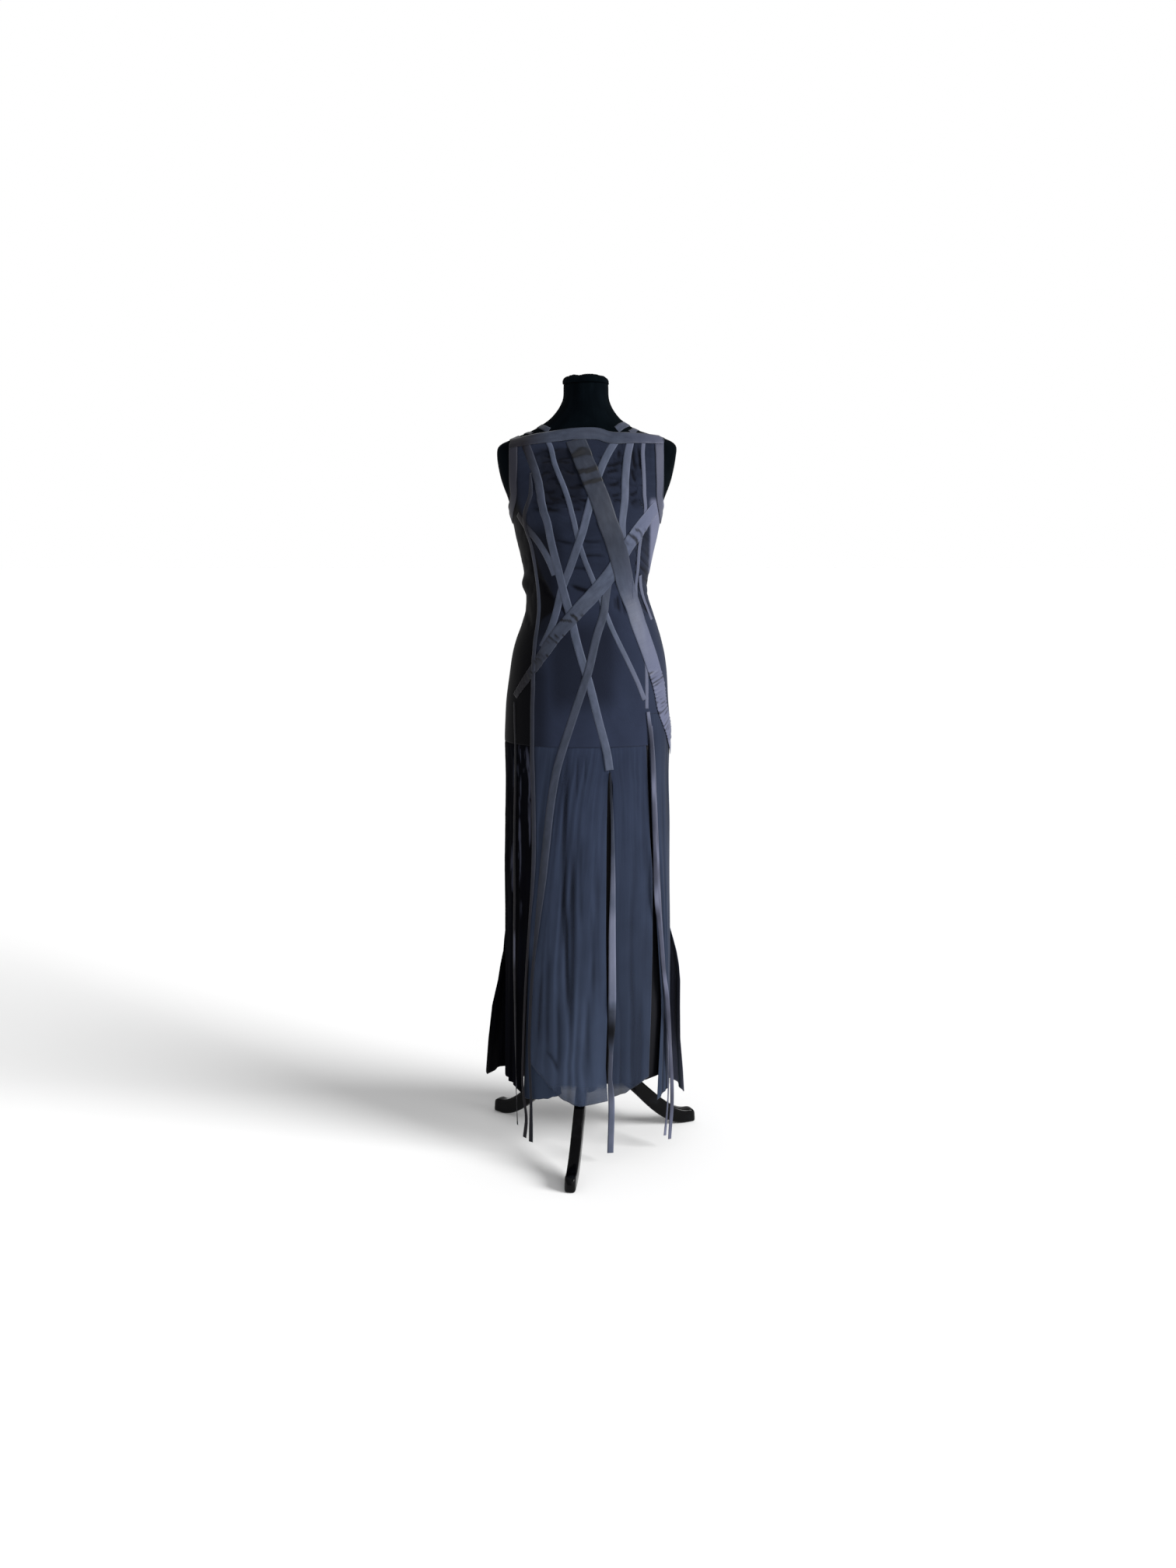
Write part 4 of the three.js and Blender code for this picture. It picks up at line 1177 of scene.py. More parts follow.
    def finish(self, node: str, grid: Array, shade: Array) -> bpy.types.Object:
        """Makes a bodice piece from its outer face.

        Args:
            node: Name of its solid.
            grid: Points in metres.
            shade: Tone at each point.

        Returns:
            The piece.
        """
        obj = grid_mesh(f"{node}_cloth", grid, flat_places(grid), shade=shade)
        give_thickness(obj, CLOTH_THICK)
        dress(obj, node, self.finishes.bodice)
        return obj

    def build(self) -> list[bpy.types.Object]:
        """The three pieces of the bodice."""
        return [self.front(), self.back("bodice_back_left", -1), self.back("bodice_back_right", 1)]


Edge = Callable[[Array], Array]


def front_edge(rows: Rows, shift: float) -> Edge:
    """An edge of a front panel as angle by height, from a table of height and x, moved sideways.

    Args:
        rows: Heights and places across in mm.
        shift: Move sideways in mm.

    Returns:
        The edge.
    """
    places = Table(("height", "x"), rows)
    return lambda height: FIG.angle_at(places.straight("x", height) + shift, height)


def upright_edge(angle: float) -> Edge:
    """An edge at one angle."""
    return lambda height: np.full(np.shape(height), angle)


LEFT_SEAM = ((868, -107), (640, -107), (480, -118), (400, -122), (213, -131), (120, -134))
CENTRE_LEFT = ((868, -43), (819, -55), (751, -69), (652, -81), (501, -98), (402, -108), (251, -115), (213, -119))
UNDER_RIGHT = ((868, -43), (819, -55), (751, -69), (652, -81), (501, -98), (402, -108), (370, -109),
               (320, -104), (260, -88), (200, -62), (120, -46))
SLIT_LEFT = ((868, 45), (819, 45), (793, 42), (711, 40), (504, 39), (392, 40), (319, 42), (209, 39), (130, 44))
SLIT_RIGHT = ((868, 45), (819, 45), (793, 51), (711, 51), (602, 48), (504, 45.5), (392, 45), (319, 53),
              (209, 52), (140, 50))
SIDE_SLIT_LEFT = ((868, 118), (801, 121), (682, 127), (602, 133), (450, 134), (315, 132), (175, 128))
SIDE_SLIT_RIGHT = ((930, 121.5), (868, 124), (801, 127), (682, 132), (602, 138), (500, 142), (340, 153),
                   (300, 154), (209, 150), (115, 146))
CENTRE_HEM = ((0, 213), (0.21, 182), (0.41, 150), (0.52, 136), (0.68, 126), (0.87, 130), (1, 136))
UNDER_HEM = ((0, 124), (0.38, 128), (0.72, 136), (1, 147))
RIGHT_HEM = ((0, 141), (0.53, 156), (1, 175))
SIDE_LEFT_HEM = ((0, 150), (0.6, 150), (1, 134))
SIDE_RIGHT_HEM = ((0, 117), (0.4, 127), (1, 128))
BACK_LEFT_HEM = ((0, 104), (0.3, 108), (0.5, 114), (0.7, 121), (0.85, 128), (0.94, 137), (1, 150))
BACK_RIGHT_HEM = ((0, 108), (0.05, 99), (0.15, 96), (0.4, 99), (0.6, 102), (1, 104))

CENTRE_CREASES = (
    Crease(-36, 862, -46, 430, 5.5, -2.4, 4), Crease(-30, 700, -34, 250, 6.0, -2.2, -4),
    Crease(-44, 560, -40, 300, 4.5, -2.0, -2), Crease(-66, 862, -64, 800, 3.0, -1.4),
    Crease(-54, 855, -52, 780, 2.6, -1.2), Crease(-12, 700, -10, 480, 5.0, -1.2, 2),
    Crease(8, 560, 12, 360, 5.0, -1.0, -2), Crease(25, 640, 27, 330, 5.0, -1.3, 2),
    Crease(-74, 470, -80, 220, 5.0, -1.5, 2), Crease(-88, 420, -98, 240, 4.0, -1.4, 2),
    Crease(-60, 360, -58, 190, 5.0, -1.3, -2), Crease(2, 380, 4, 180, 5.0, -1.1, 1),
    Crease(-18, 860, -20, 760, 2.4, -1.0), Crease(-2, 858, -4, 790, 2.0, -0.9),
    Crease(-84, 240, -60, 196, 4.0, -1.6, -5), Crease(-90, 190, -96, 150, 4.0, -1.2, 3),
)


@dataclass(frozen=True)
class SkirtPanel:
    """One gathered skirt panel between two edges, from its seam to its hem."""

    node: str
    slot: str
    left: Edge
    right: Edge
    top: float
    hem: Rows
    waves: int
    seed: int
    finish: bpy.types.Material
    sweep: float = 0.0
    depth: float = 1.0
    fine: float = 1.4
    pitch: float = 8.0
    bottom_lift: float = 0.0
    creases: tuple[Crease, ...] = ()
    crumple: float = 0.0
    # Share of painted shade at the left end.
    painted_shade_left: float = 0.0
    # Share of painted light at the left end of a flared panel.
    painted_light_left: float = 0.0
    tones: Rows = ((0, 0), (2000, 0))
    rows: int = 150
    facet: float = 2.2

    def gathers(self, share: Array, height: Array, width: float) -> Array:
        """Broad waves, a sine whose phase wanders; and fine upright folds that start at ragged heights.

        Args:
            share: Places across from 0 to 1.
            height: Heights in mm.
            width: Mean width in mm.

        Returns:
            Lifts in mm.
        """
        wander = 0.45 * Unevenness(self.seed)(share * 4, height / 240)
        limit = 0.14 * width / self.waves
        column = "back" if self.sweep else "front"
        broad = np.minimum(self.depth * GATHER.straight(column, height), limit)
        broad = broad * ramp(-0.9, 0.5, Unevenness(self.seed + 7)(share * 5, height / 420))
        across = share * width / self.pitch
        sway = 0.9 * Unevenness(self.seed + 1)(share * 3, height / 260)
        ragged = 26 * (1 + Unevenness(self.seed + 2)(across * 1.3, np.zeros_like(across)))
        onset = ramp(4, 60, self.top - height - ragged) * ramp(
            -0.6, 0.4, Unevenness(self.seed + 8)(share * 7, height / 190))
        fine = Unevenness(self.seed + 3).folds(across + sway, height / 210)
        slack = Unevenness(self.seed + 4).folds(across * 1.4, height / 34)
        return (
            0.75 * broad * np.sin(math.tau * (self.waves * share + wander))
            + self.fine * onset * fine
            + self.crumple * slack * window(height, 500, 850, 60)
        )

    def grid(self) -> tuple[Array, Array]:
        """Outer face of the panel, and its tone of painted shade and light.

        Returns:
            Points in metres, and tones from 0 to 1.
        """
        middle = np.array([(self.top + 150) / 2])
        ends = [FIG.point(edge(middle), middle, self.sweep)[0] for edge in (self.left, self.right)]
        arc = np.linspace(float(self.left(middle)[0]), float(self.right(middle)[0]), 30)
        arc_points = FIG.point(arc, np.full(30, middle[0]), self.sweep)
        width = float(np.linalg.norm(np.diff(arc_points, axis=0), axis=1).sum())
        columns = max(18, int(width / self.facet), int(np.linalg.norm(ends[1] - ends[0]) / self.facet))
        share = np.linspace(0, 1, columns + 1)[None, :]
        base = Table(("share", "height"), self.hem).smooth("height", share)
        base = base + 1.6 * Unevenness(self.seed + 5)(share * 9, np.zeros_like(share))
        down = np.linspace(0, 1, self.rows + 1)[:, None]
        height = self.top - (self.top - base) * down
        share = np.broadcast_to(share, height.shape)
        angle = self.left(height) + (self.right(height) - self.left(height)) * share
        edge = ramp(0.02, 0.16, share) * (1 - ramp(0.84, 0.98, share))
        lift = edge * self.gathers(share, height, width)
        x = FIG.point(angle, height, self.sweep)[..., 0]
        crease = edge * creased(x, height, self.creases)
        # Painted shade in the gathers and creases, partly the real darkening of layered sheer cloth, with painted shade
        # and light by the panel's ends and height.
        shade = np.clip(-lift / 4.5, 0, 0.6) + np.clip(-crease / 3.4, 0, 0.6) + self.side_shade(share, height)
        shade = shade + Table(("height", "tone"), self.tones).straight("tone", height)
        lift = lift + crease
        lift = CLOTH + lift + self.bottom_lift * (1 - ramp(400, 470, height))
        lift = lift - 0.85 * ramp(self.top - 9, self.top - 3, height)
        return (FIG.lifted(angle, height, lift, self.sweep) + AXIS) * MM, np.clip(shade, -1, 1)

    def side_shade(self, share: Array, height: Array) -> Array:
        """Painted shade toward the panel's left end, painted light at a flared end, and painted glints where it is
        crumpled.

        Args:
            share: Places across from 0 to 1.
            height: Heights in mm.

        Returns:
            Tones from -1 to 1.
        """
        slack = Unevenness(self.seed + 6).folds(share * 16, height / 90)
        # Painted glints: highlights on the crumpled cloth.
        glint = 0.34 * ramp(-0.45, -0.08, slack) * window(height, 560, 960, 60) * window(share, 0.55, 0.94, 0.1)
        return (
            # Painted shade at the left end.
            self.painted_shade_left * (1 - ramp(0.0, 0.3, share))
            # Painted light at the flared end, where the inner face shows.
            - self.painted_light_left * (1 - ramp(0.3, 0.8, share)) * (1 - ramp(480, 600, height))
            - (glint if self.crumple else 0.0)
        )

    def build(self) -> bpy.types.Object:
        """The panel.

        Returns:
            The piece.
        """
        grid, shade = self.grid()
        obj = grid_mesh(f"{self.node}_cloth", grid, flat_places(grid), shade=shade)
        give_thickness(obj, CLOTH_THICK)
        dress(obj, self.node, self.finish)
        return obj


@dataclass(frozen=True)
class Skirt:
    """Seven gathered panels over a black underskirt."""

    finishes: Finishes

    def panels(self) -> list[SkirtPanel]:
        """The panels from the left front round to the back.

        Returns:
            The panels.
        """
        f, half, top = self.finishes, SEAM / 2, HIP_SEAM + SEAM_TUCK
        side_seam, middle = math.pi / 2 + SEAM / 2 / 165, math.pi - SEAM / 2 / 120
        turn = math.pi / 2 - SEAM / 2 / 165
        return [
            # The front centre and front left panels carry painted shade at their left ends.
            SkirtPanel("skirt_front_centre", "skirt_chiffon", front_edge(CENTRE_LEFT, half),
                       front_edge(SLIT_LEFT, -half), top, CENTRE_HEM, 7, 100, f.sheer, bottom_lift=1.5,
                       depth=0.3, fine=0.6, pitch=9.0, creases=CENTRE_CREASES, painted_shade_left=0.25),
            SkirtPanel("skirt_front_left", "skirt_chiffon", front_edge(LEFT_SEAM, half),
                       front_edge(UNDER_RIGHT, -half), top, UNDER_HEM, 3, 110, f.skirt, bottom_lift=-5.5,
                       depth=0.3, fine=0.9, pitch=8.0, painted_shade_left=0.5),
            # The front right and side right panels carry painted shade by height in their tones.
            SkirtPanel("skirt_front_right", "skirt_chiffon", front_edge(SLIT_RIGHT, half),
                       front_edge(SIDE_SLIT_LEFT, -half), top, RIGHT_HEM, 3, 120, f.sheer, depth=0.35,
                       fine=0.5, pitch=10.0, tones=((150, 0.42), (400, 0.38), (640, 0.2), (868, 0.1))),
            SkirtPanel("skirt_side_right", "skirt_chiffon", front_edge(SIDE_SLIT_RIGHT, half),
                       upright_edge(turn), SLIT_TOP + SEAM_TUCK, SIDE_RIGHT_HEM, 4, 130, f.skirt, fine=1.6,
                       pitch=7.5, tones=((150, 0.3), (868, 0.2))),
            SkirtPanel("skirt_side_left", "side_chiffon", upright_edge(-turn), front_edge(LEFT_SEAM, -half),
                       top, SIDE_LEFT_HEM, 4, 140, f.side, fine=1.8, pitch=6.5, crumple=2.0),
            SkirtPanel("skirt_back_left", "side_chiffon", upright_edge(-middle), upright_edge(-side_seam), top,
                       BACK_LEFT_HEM, 6, 150, f.side, sweep=1.0, fine=1.4, pitch=14.0, facet=2.6,
                       tones=((150, 0), (868, -0.12))),
            # The back right panel carries painted light by its side seam.
            SkirtPanel("skirt_back_right", "side_chiffon", upright_edge(side_seam), upright_edge(middle), top,
                       BACK_RIGHT_HEM, 6, 160, f.teal, sweep=1.0, fine=1.4, pitch=14.0, facet=2.6,
                       painted_light_left=0.6, tones=((150, 0), (868, -0.12))),
        ]

    def underskirt(self) -> bpy.types.Object:
        """The black tube inside the panels, inset by a table, with soft upright folds.

        Returns:
            The piece.
        """
        inset = Table(("height", "inset"), ((866, -2.4), (800, -6.5), (700, -10.5), (165, -11)))
        columns, rows = 150, 70
        angle = (np.arange(columns)[None, :] + 0.5) / columns * math.tau - math.pi
        down = np.linspace(0, 1, rows)[:, None]
        hem = 166 + 1.5 * np.sin(5 * angle)
        height = 866 - (866 - hem) * down
        angle = np.broadcast_to(angle, height.shape)
        fold = 1.2 * np.sin(17 * angle + 1.5 * np.sin(height / 190)) * ramp(866, 700, height)
        lift = inset.straight("inset", height) + CLOTH + fold * ramp(0, 0.2, down)
        grid = (FIG.lifted(angle, height, lift) + AXIS) * MM
        flat = np.stack([np.broadcast_to(angle * 0.15, height.shape), height * MM], -1)
        obj = grid_mesh("underskirt_cloth", grid, flat, around=True)
        give_thickness(obj, CLOTH_THICK)
        dress(obj, "underskirt", self.finishes.lining)
        return obj

    def build(self) -> list[bpy.types.Object]:
        """All pieces of the skirt."""
        return [panel.build() for panel in self.panels()] + [self.underskirt()]


@dataclass(frozen=True)
class Pucker:
    """A stretch of a ribbon that is folded crosswise in small steps."""

    low: float
    high: float
    pitch: float
    depth: float


@dataclass(frozen=True)
class Ribbon:
    """A ribbon laid on the gown: rows of x and height in mm, with a third value 1 on the back."""

    node: str
    width: float
    rows: Rows
    closed: bool = False
    own: float = 0.0
    face: Sheen = Sheen.RIBBED
    crosses: bool = True
    puckers: tuple[Pucker, ...] = ()
    narrow: Rows = ((0, 1), (2000, 1))
    under_band: float = 0.0
    tones: Rows = ((0, 0), (2000, 0))
    shoulder_sink: float = 0.0


@dataclass(frozen=True)
class HangingRibbon:
    """A ribbon that hangs free: rows of x, height, distance off the figure, width and turn in degrees."""

    node: str
    rows: Rows
    tones: Rows = ((0, 0.15), (2000, 0.15))


@dataclass
class LaidRibbon:
    """Centre line, lifts and width of a ribbon that is already on the gown."""

    places: Array
    lifts: Array
    width: float


LEFT_BAND = ((-300, 1308), (-140, 1345), (-140, 1385), (-140, 1425), (-140, 1450), (-140, 1465.0),
             (-140, 1450, 1), (-140, 1425, 1), (-140, 1385, 1), (-140, 1345, 1))
RIGHT_BAND = ((300, 1308), (140, 1345), (140, 1385), (140, 1425), (140, 1450), (140, 1467.8),
              (140, 1450, 1), (140, 1425, 1), (140, 1385, 1), (140, 1345, 1))

# Painted shade on the shoulder ribbons.
SHADED = ((0, 0.4), (2000, 0.4))
SHOULDER_RIBBONS = (
    Ribbon("shoulder_ribbon_left_inner", 12, ((-72, 1476.5), (-84, 1483), (-400, 1487.5), (-88, 1482, 1),
                                              (-86, 1471, 1)), own=-2.3, crosses=False, tones=SHADED),
    Ribbon("shoulder_ribbon_left_outer", 9, ((-106, 1471), (-113, 1473.2), (-400, 1474.4), (-114, 1473, 1),
                                             (-110, 1468.5, 1)), own=-2.3, crosses=False, tones=SHADED),
    Ribbon("shoulder_ribbon_right_inner", 15, ((58, 1477.5), (70, 1486), (400, 1492), (74, 1486, 1),
                                               (74, 1473, 1)), own=-2.3, crosses=False, tones=SHADED),
    Ribbon("shoulder_ribbon_right_outer", 12, ((84, 1473), (94, 1479), (400, 1481.5), (97, 1478, 1),
                                               (97, 1469, 1)), own=-2.3, crosses=False, tones=SHADED),
)

# Each ribbon's tones are painted shade above 0 and painted light below 0, by height.
LAID_RIBBONS = (
    Ribbon("ribbon_right_thin", 8, ((108, 1442), (110, 1360), (112, 1319), (102, 1260), (98, 1201),
                                    (108, 1109), (116, 1041), (118, 940)), under_band=16),
    Ribbon("ribbon_right_upright", 15, ((81, 1441), (74, 1386), (71, 1330), (68, 1262)), under_band=16),
    Ribbon("ribbon_right_short", 10, ((104, 1200), (113, 1150), (128, 1112))),
    Ribbon("ribbon_middle_thin", 10, ((-69, 1444), (-60, 1410), (-37, 1352), (-20, 1288), (0, 1223),
                                      (27, 1156), (49, 1099), (80, 1035), (100, 992), (113, 958)), under_band=16),
    Ribbon("ribbon_left_slant", 15, ((-132, 1318), (-118, 1297), (-96, 1270), (-78, 1242), (-60, 1202))),
    Ribbon("ribbon_falling_left", 15, ((49, 1444), (31, 1410), (16, 1369), (-6, 1288), (-29, 1222),
                                       (-49, 1168), (-70, 1095), (-86, 1062)), under_band=16),
    Ribbon("ribbon_falling_middle", 16, ((-110, 1432), (-92, 1380), (-80, 1319), (-62, 1245), (-44, 1171),
                                         (-25, 1099), (1, 1007), (25, 915), (40, 856), (45, 822)), under_band=16),
    Ribbon("ribbon_long_left", 16, ((43, 1193), (34, 1133), (19, 1081), (1, 1007), (-20, 945), (-46, 864),
                                    (-59, 816), (-70, 751), (-81, 652), (-89, 580), (-98, 501),
                                    (-108, 402), (-116, 251), (-113, 130), (-114, 36)),
           narrow=((60, 0.6), (140, 0.35), (440, 0.4), (600, 1)), tones=((0, 0.42), (2000, 0.42))),
    Ribbon("ribbon_wide_rise", 30, ((133, 1330), (107, 1297), (80, 1260), (46, 1204), (13, 1164),
                                    (-22, 1126), (-55, 1089), (-87, 1043), (-113, 1004), (-140, 962)),
           own=0.5, face=Sheen.SATIN, narrow=((962, 0.45), (1010, 0.6), (1060, 0.8), (1130, 0.92), (1200, 1)),
           puckers=(Pucker(1262, 1288, 16, 1.3), Pucker(1112, 1124, 14, 1.0), Pucker(1032, 1046, 9, 1.8),
                    Pucker(1072, 1084, 10, 1.4), Pucker(966, 1012, 8, 2.0)),
           tones=((960, 0.5), (1080, 0.4), (1180, 0.15), (1260, 0.0))),
    Ribbon("ribbon_left_thin", 9, ((-106, 1394), (-106, 1355), (-118, 1301), (-106, 1258), (-97, 1201),
                                   (-92, 1141), (-97, 1091), (-102, 1042), (-105, 966), (-105, 813),
                                   (-105, 622), (-114, 500), (-121, 400), (-128, 250), (-130, 150),
                                   (-123, 85), (-127, 42)),
           narrow=((60, 1), (140, 0.6), (520, 0.6), (620, 1), (1360, 1), (1394, 0.35))),
    Ribbon("ribbon_wide_fall", 38, ((-13, 1438), (11, 1379), (30, 1333), (51, 1275), (69, 1211), (88, 1147),
                                    (103, 1102), (128, 1033), (144, 978), (153, 931), (300, 850)),
           own=0.5, face=Sheen.SATIN,
           under_band=18, puckers=(Pucker(1372, 1440, 27, 2.2), Pucker(872, 1010, 7.5, 1.7)),
           tones=((900, -0.05), (1090, 0.08), (1190, 0.4), (1260, 0.64), (1440, 0.66))),
)

# The neckbands' tones are painted shade.
NECKBANDS = (
    Ribbon("neckband_front", BAND_WIDTH, tuple(
        (x, z - BAND_WIDTH / 2 + 11 * float(ramp(40, 135, abs(x)))) for x, z in NECKLINE.rows), own=0.4,
        face=Sheen.SATIN, tones=((0, 0.42), (2000, 0.42))),
    Ribbon("neckband_back", BAND_WIDTH, tuple((x, z - BAND_WIDTH / 2, 1) for x, z in (
        (143, 1452), (90, 1463), (40, 1469), (-40, 1469), (-90, 1463), (-146, 1452))), own=0.6,
        face=Sheen.SATIN, tones=((0, 0.5), (2000, 0.5))),
)

# The tones are painted shade above 0 and painted light below 0, for the light and dark of the twisted ribbons.
HANGING_RIBBONS = (
    HangingRibbon("ribbon_slit_middle", (
        (46, 817, 3.5, 6, 70), (51, 690, 4, 7, 40), (52, 600, 4, 10, 20), (51, 489, 4.5, 14, 0),
        (51, 342, 6, 16, 0), (48, 240, 6, 14, 62), (47, 185, 6, 14, 62), (50, 130, 6, 13, 12), (48, 24, 6, 13, 0)),
        tones=((0, -0.1), (235, -0.1), (262, 0.7), (328, 0.7), (352, -0.3), (560, -0.4), (690, -0.2), (740, 0.5))),
    HangingRibbon("ribbon_slit_right", (
        (120, 934, 2.7, 8, 0), (124, 870, 9, 8, 50), (127, 774, 11, 8, 12), (130, 666, 12, 8, 62),
        (134, 549, 12.5, 9, 15), (142, 482, 13, 9, 64), (149, 398, 13, 9, 14), (156, 334, 13, 9, 60),
        (163, 229, 13, 9, 12), (167, 113, 14, 8, 60), (164, 22, 13, 8, 30))),
    HangingRibbon("ribbon_slit_right_under", (
        (126, 905, 2.6, 7, 0), (131, 830, 5.6, 7, 0), (137, 700, 6, 7, 0), (144, 560, 6, 8, 0),
        (152, 440, 6, 8, 0), (160, 330, 6, 8, 0), (165, 220, 6, 8, 0), (166, 110, 6, 7, 0), (160, 32, 6, 7, 20))),
    HangingRibbon("ribbon_left_hanging", (
        (-140, 951, 5, 5, 0), (-140, 860, 2.9, 5, 0), (-141, 700, 6, 6, 0), (-142, 542, 6.5, 6, 0),
        (-143, 424, 7, 6, 0), (-142, 250, 7, 6, 15), (-141, 150, 7, 6, 60), (-140, 66, 6, 6, 20)),
        tones=((0, 0.2), (400, 0.3), (430, -0.1), (540, -0.1), (570, 0.75), (700, 0.7), (740, 0.4), (951, 0.5))),
)


@dataclass
class Trimming:
    """All the ribbons and bands of the gown, laid one over another in the order of sewing."""

    finishes: Finishes
    laid: list[LaidRibbon] = field(default_factory=list)

    def lift(self, ribbon: Ribbon, angle: Array, height: Array) -> Array:
        """How high a ribbon lies: over the cloth, and a layer over any ribbon that it crosses, with soft ramps.

        Args:
            ribbon: The ribbon.
            angle: Angles of its points.
            height: Heights of its points in mm.

        Returns:
            Lifts in mm.
        """
        on_skirt = 1 - ramp(HIP_SEAM - 20, HIP_SEAM + 20, height)
        base = CLOTH + 0.6 + ribbon.own + 1.9 * on_skirt + (1 - on_skirt) * bodice_drape(angle, height)
        base = base - ribbon.shoulder_sink * ramp(1443, 1460, height)
        places = FIG.point(angle, height).reshape(-1, 3)
        lift = base.reshape(-1)
        for other in self.laid if ribbon.crosses else ():
            away = np.linalg.norm(places[:, None, :] - other.places[None, :, :], axis=-1)
            nearest = away.argmin(1)
            near = 1 - ramp(other.width / 2 - 1, other.width / 2 + 8, away.min(1))
            above = other.lifts[nearest] + LAYER
            lift = np.where(above > lift, lift + near * (above - lift), lift)
        return lift.reshape(np.shape(angle))

    def puckered(self, ribbon: Ribbon, height: Array, run: Array, across: Array) -> tuple[Array, Array]:
        """Crosswise folds of a ribbon: each rises slowly over its pitch and drops into a crease at its end, with a
        painted shadow in the crease.

        Args:
            ribbon: The ribbon.
            height: Heights of its points in mm.
            run: Places along it in mm.
            across: Places across it from 0 to 1.

        Returns:
            Lifts in mm, and tones from 0 to 1.
        """
        seed = sum(ord(letter) for letter in ribbon.node)
        total = 0.22 * Unevenness(seed)(run / 16, 2 * across)
        shade = np.zeros(total.shape)
        for pucker in ribbon.puckers:
            wander = 0.5 * Unevenness(seed + 1)(run / (2 * pucker.pitch), 1.5 * across)
            phase = run / pucker.pitch + wander
            step = phase - np.floor(phase)
            fold = ramp(0, 0.85, step) * (1 - ramp(0.86, 1.0, step))
            within = window(height, pucker.low, pucker.high, 4)
            total = total + pucker.depth * fold * within
            # Painted shadow that each fold casts into its crease.
            crease = ramp(0.66, 0.84, step) + 1 - ramp(0.02, 0.12, step)
            shade = shade + 0.85 * np.clip(crease, 0, 1) * within * ramp(-0.9, 0.2, Unevenness(seed + 2)(phase, across))
        # The ribbon's tones by height: painted shade above 0 and painted light below 0.
        own = Table(("height", "tone"), ribbon.tones).straight("tone", height)
        return total, np.clip(shade + own, -1, 1)

    def laid_ribbon(self, ribbon: Ribbon) -> bpy.types.Object:
        """A ribbon along its path on the figure, its points settled on the figure across its width.

        Args:
            ribbon: The ribbon.

        Returns:
            The piece.
        """
        reach = 130.0
        before, places = None, []
        (x0, z0), (x1, z1) = ribbon.rows[0][:2], ribbon.rows[1][:2]
        start = ((x0 - (x1 - x0) * ribbon.under_band / (z0 - z1), z0 + ribbon.under_band),)
        for x, height, *back in (start if ribbon.under_band else ()) + ribbon.rows:
            angle = float(FIG.angle_at(np.float64(x), np.float64(height), bool(back and back[0])))
            turns = 0 if before is None else round((before - angle) / math.tau)
            before = angle + math.tau * turns
            places.append((before * reach, height))
        path = smooth_path(np.array(places), ribbon.closed, RIBBON_STEP)
        angle, height = path[:, 0] / reach, path[:, 1]
        centre = FIG.point(angle, height)
        side = unit(np.cross(directions(centre, ribbon.closed), FIG.normal(angle, height)))
        columns = max(4, int(ribbon.width / 2.4))
        across = np.linspace(0, 1, columns + 1)
        width = ribbon.width * Table(("height", "share"), ribbon.narrow).straight("share", height)[:, None]
        spread_out = centre[:, None, :] + side[:, None, :] * (width * (0.5 - across)[None, :])[..., None]
        around, up = FIG.settle(spread_out)
        middle = self.lift(ribbon, angle, height)
        lift = self.lift(ribbon, around, up)
        run = np.arange(len(path))[:, None] * RIBBON_STEP
        share = np.broadcast_to(across[None, :], around.shape)
        folds, shade = self.puckered(ribbon, up, run, share)
        lift = lift + folds - 0.25 * (2 * share - 1) ** 4
        self.laid.append(LaidRibbon(centre, middle, ribbon.width))
        grid = (FIG.lifted(around, up, lift) + AXIS) * MM
        flat = np.stack([(share - 0.5) * width, np.broadcast_to(-run, share.shape)], -1) * MM
        return self.finish(ribbon.node, ribbon.face, grid, flat, ribbon.closed, Held.STRETCHED, shade)

    def hanging_ribbon(self, ribbon: HangingRibbon) -> bpy.types.Object:
        """A ribbon along a path beside the figure, turned about its length, with a slight sway.

        Args:
            ribbon: The ribbon.

        Returns:
            The piece.
        """
        rows = np.array(ribbon.rows, float)
        start = FIG.lifted(FIG.angle_at(rows[:, 0], rows[:, 1]), rows[:, 1], rows[:, 2])
        path = smooth_path(start, False, RIBBON_STEP)
        order = np.argsort(rows[:, 1])
        half = np.interp(path[:, 2], rows[order, 1], rows[order, 3])[:, None] / 2
        turn = np.radians(np.interp(path[:, 2], rows[order, 1], rows[order, 4]))[:, None]
        along = directions(path, False)
        facing = FIG.normal(*FIG.settle(path))
        facing = unit(facing - along * (facing * along).sum(-1, keepdims=True))
        normal = facing * np.cos(turn) + np.cross(along, facing) * np.sin(turn)
        side = unit(np.cross(along, normal))
        seed = sum(ord(letter) for letter in ribbon.node)
        run = np.arange(len(path)) * RIBBON_STEP
        sway = 0.5 * Unevenness(seed)(run / 45, 0.0 * run)[:, None]
        across = np.linspace(-1, 1, 5)
        grid = path[:, None, :] - side[:, None, :] * (half * across[None, :])[..., None]
        bulge = (0.3 * (1 - across[None, :] ** 2) + sway)[..., None]
        grid = (grid + normal[:, None, :] * bulge + AXIS) * MM
        flat = np.stack([half * across[None, :], np.broadcast_to(-run[:, None], (len(run), 5))], -1) * MM
        # Painted light and shade along the ribbon: its tones by height and an uneven light and dark along its twists.
        tone = Table(("height", "tone"), ribbon.tones).straight("tone", path[:, 2])
        tone = np.broadcast_to((tone + 0.4 * Unevenness(seed + 3)(run / 38, 0.0 * run))[:, None], half.shape[:1] + (5,))
        return self.finish(ribbon.node, Sheen.RIBBED, grid, flat, False, Held.HUNG, np.clip(tone, -1, 1))

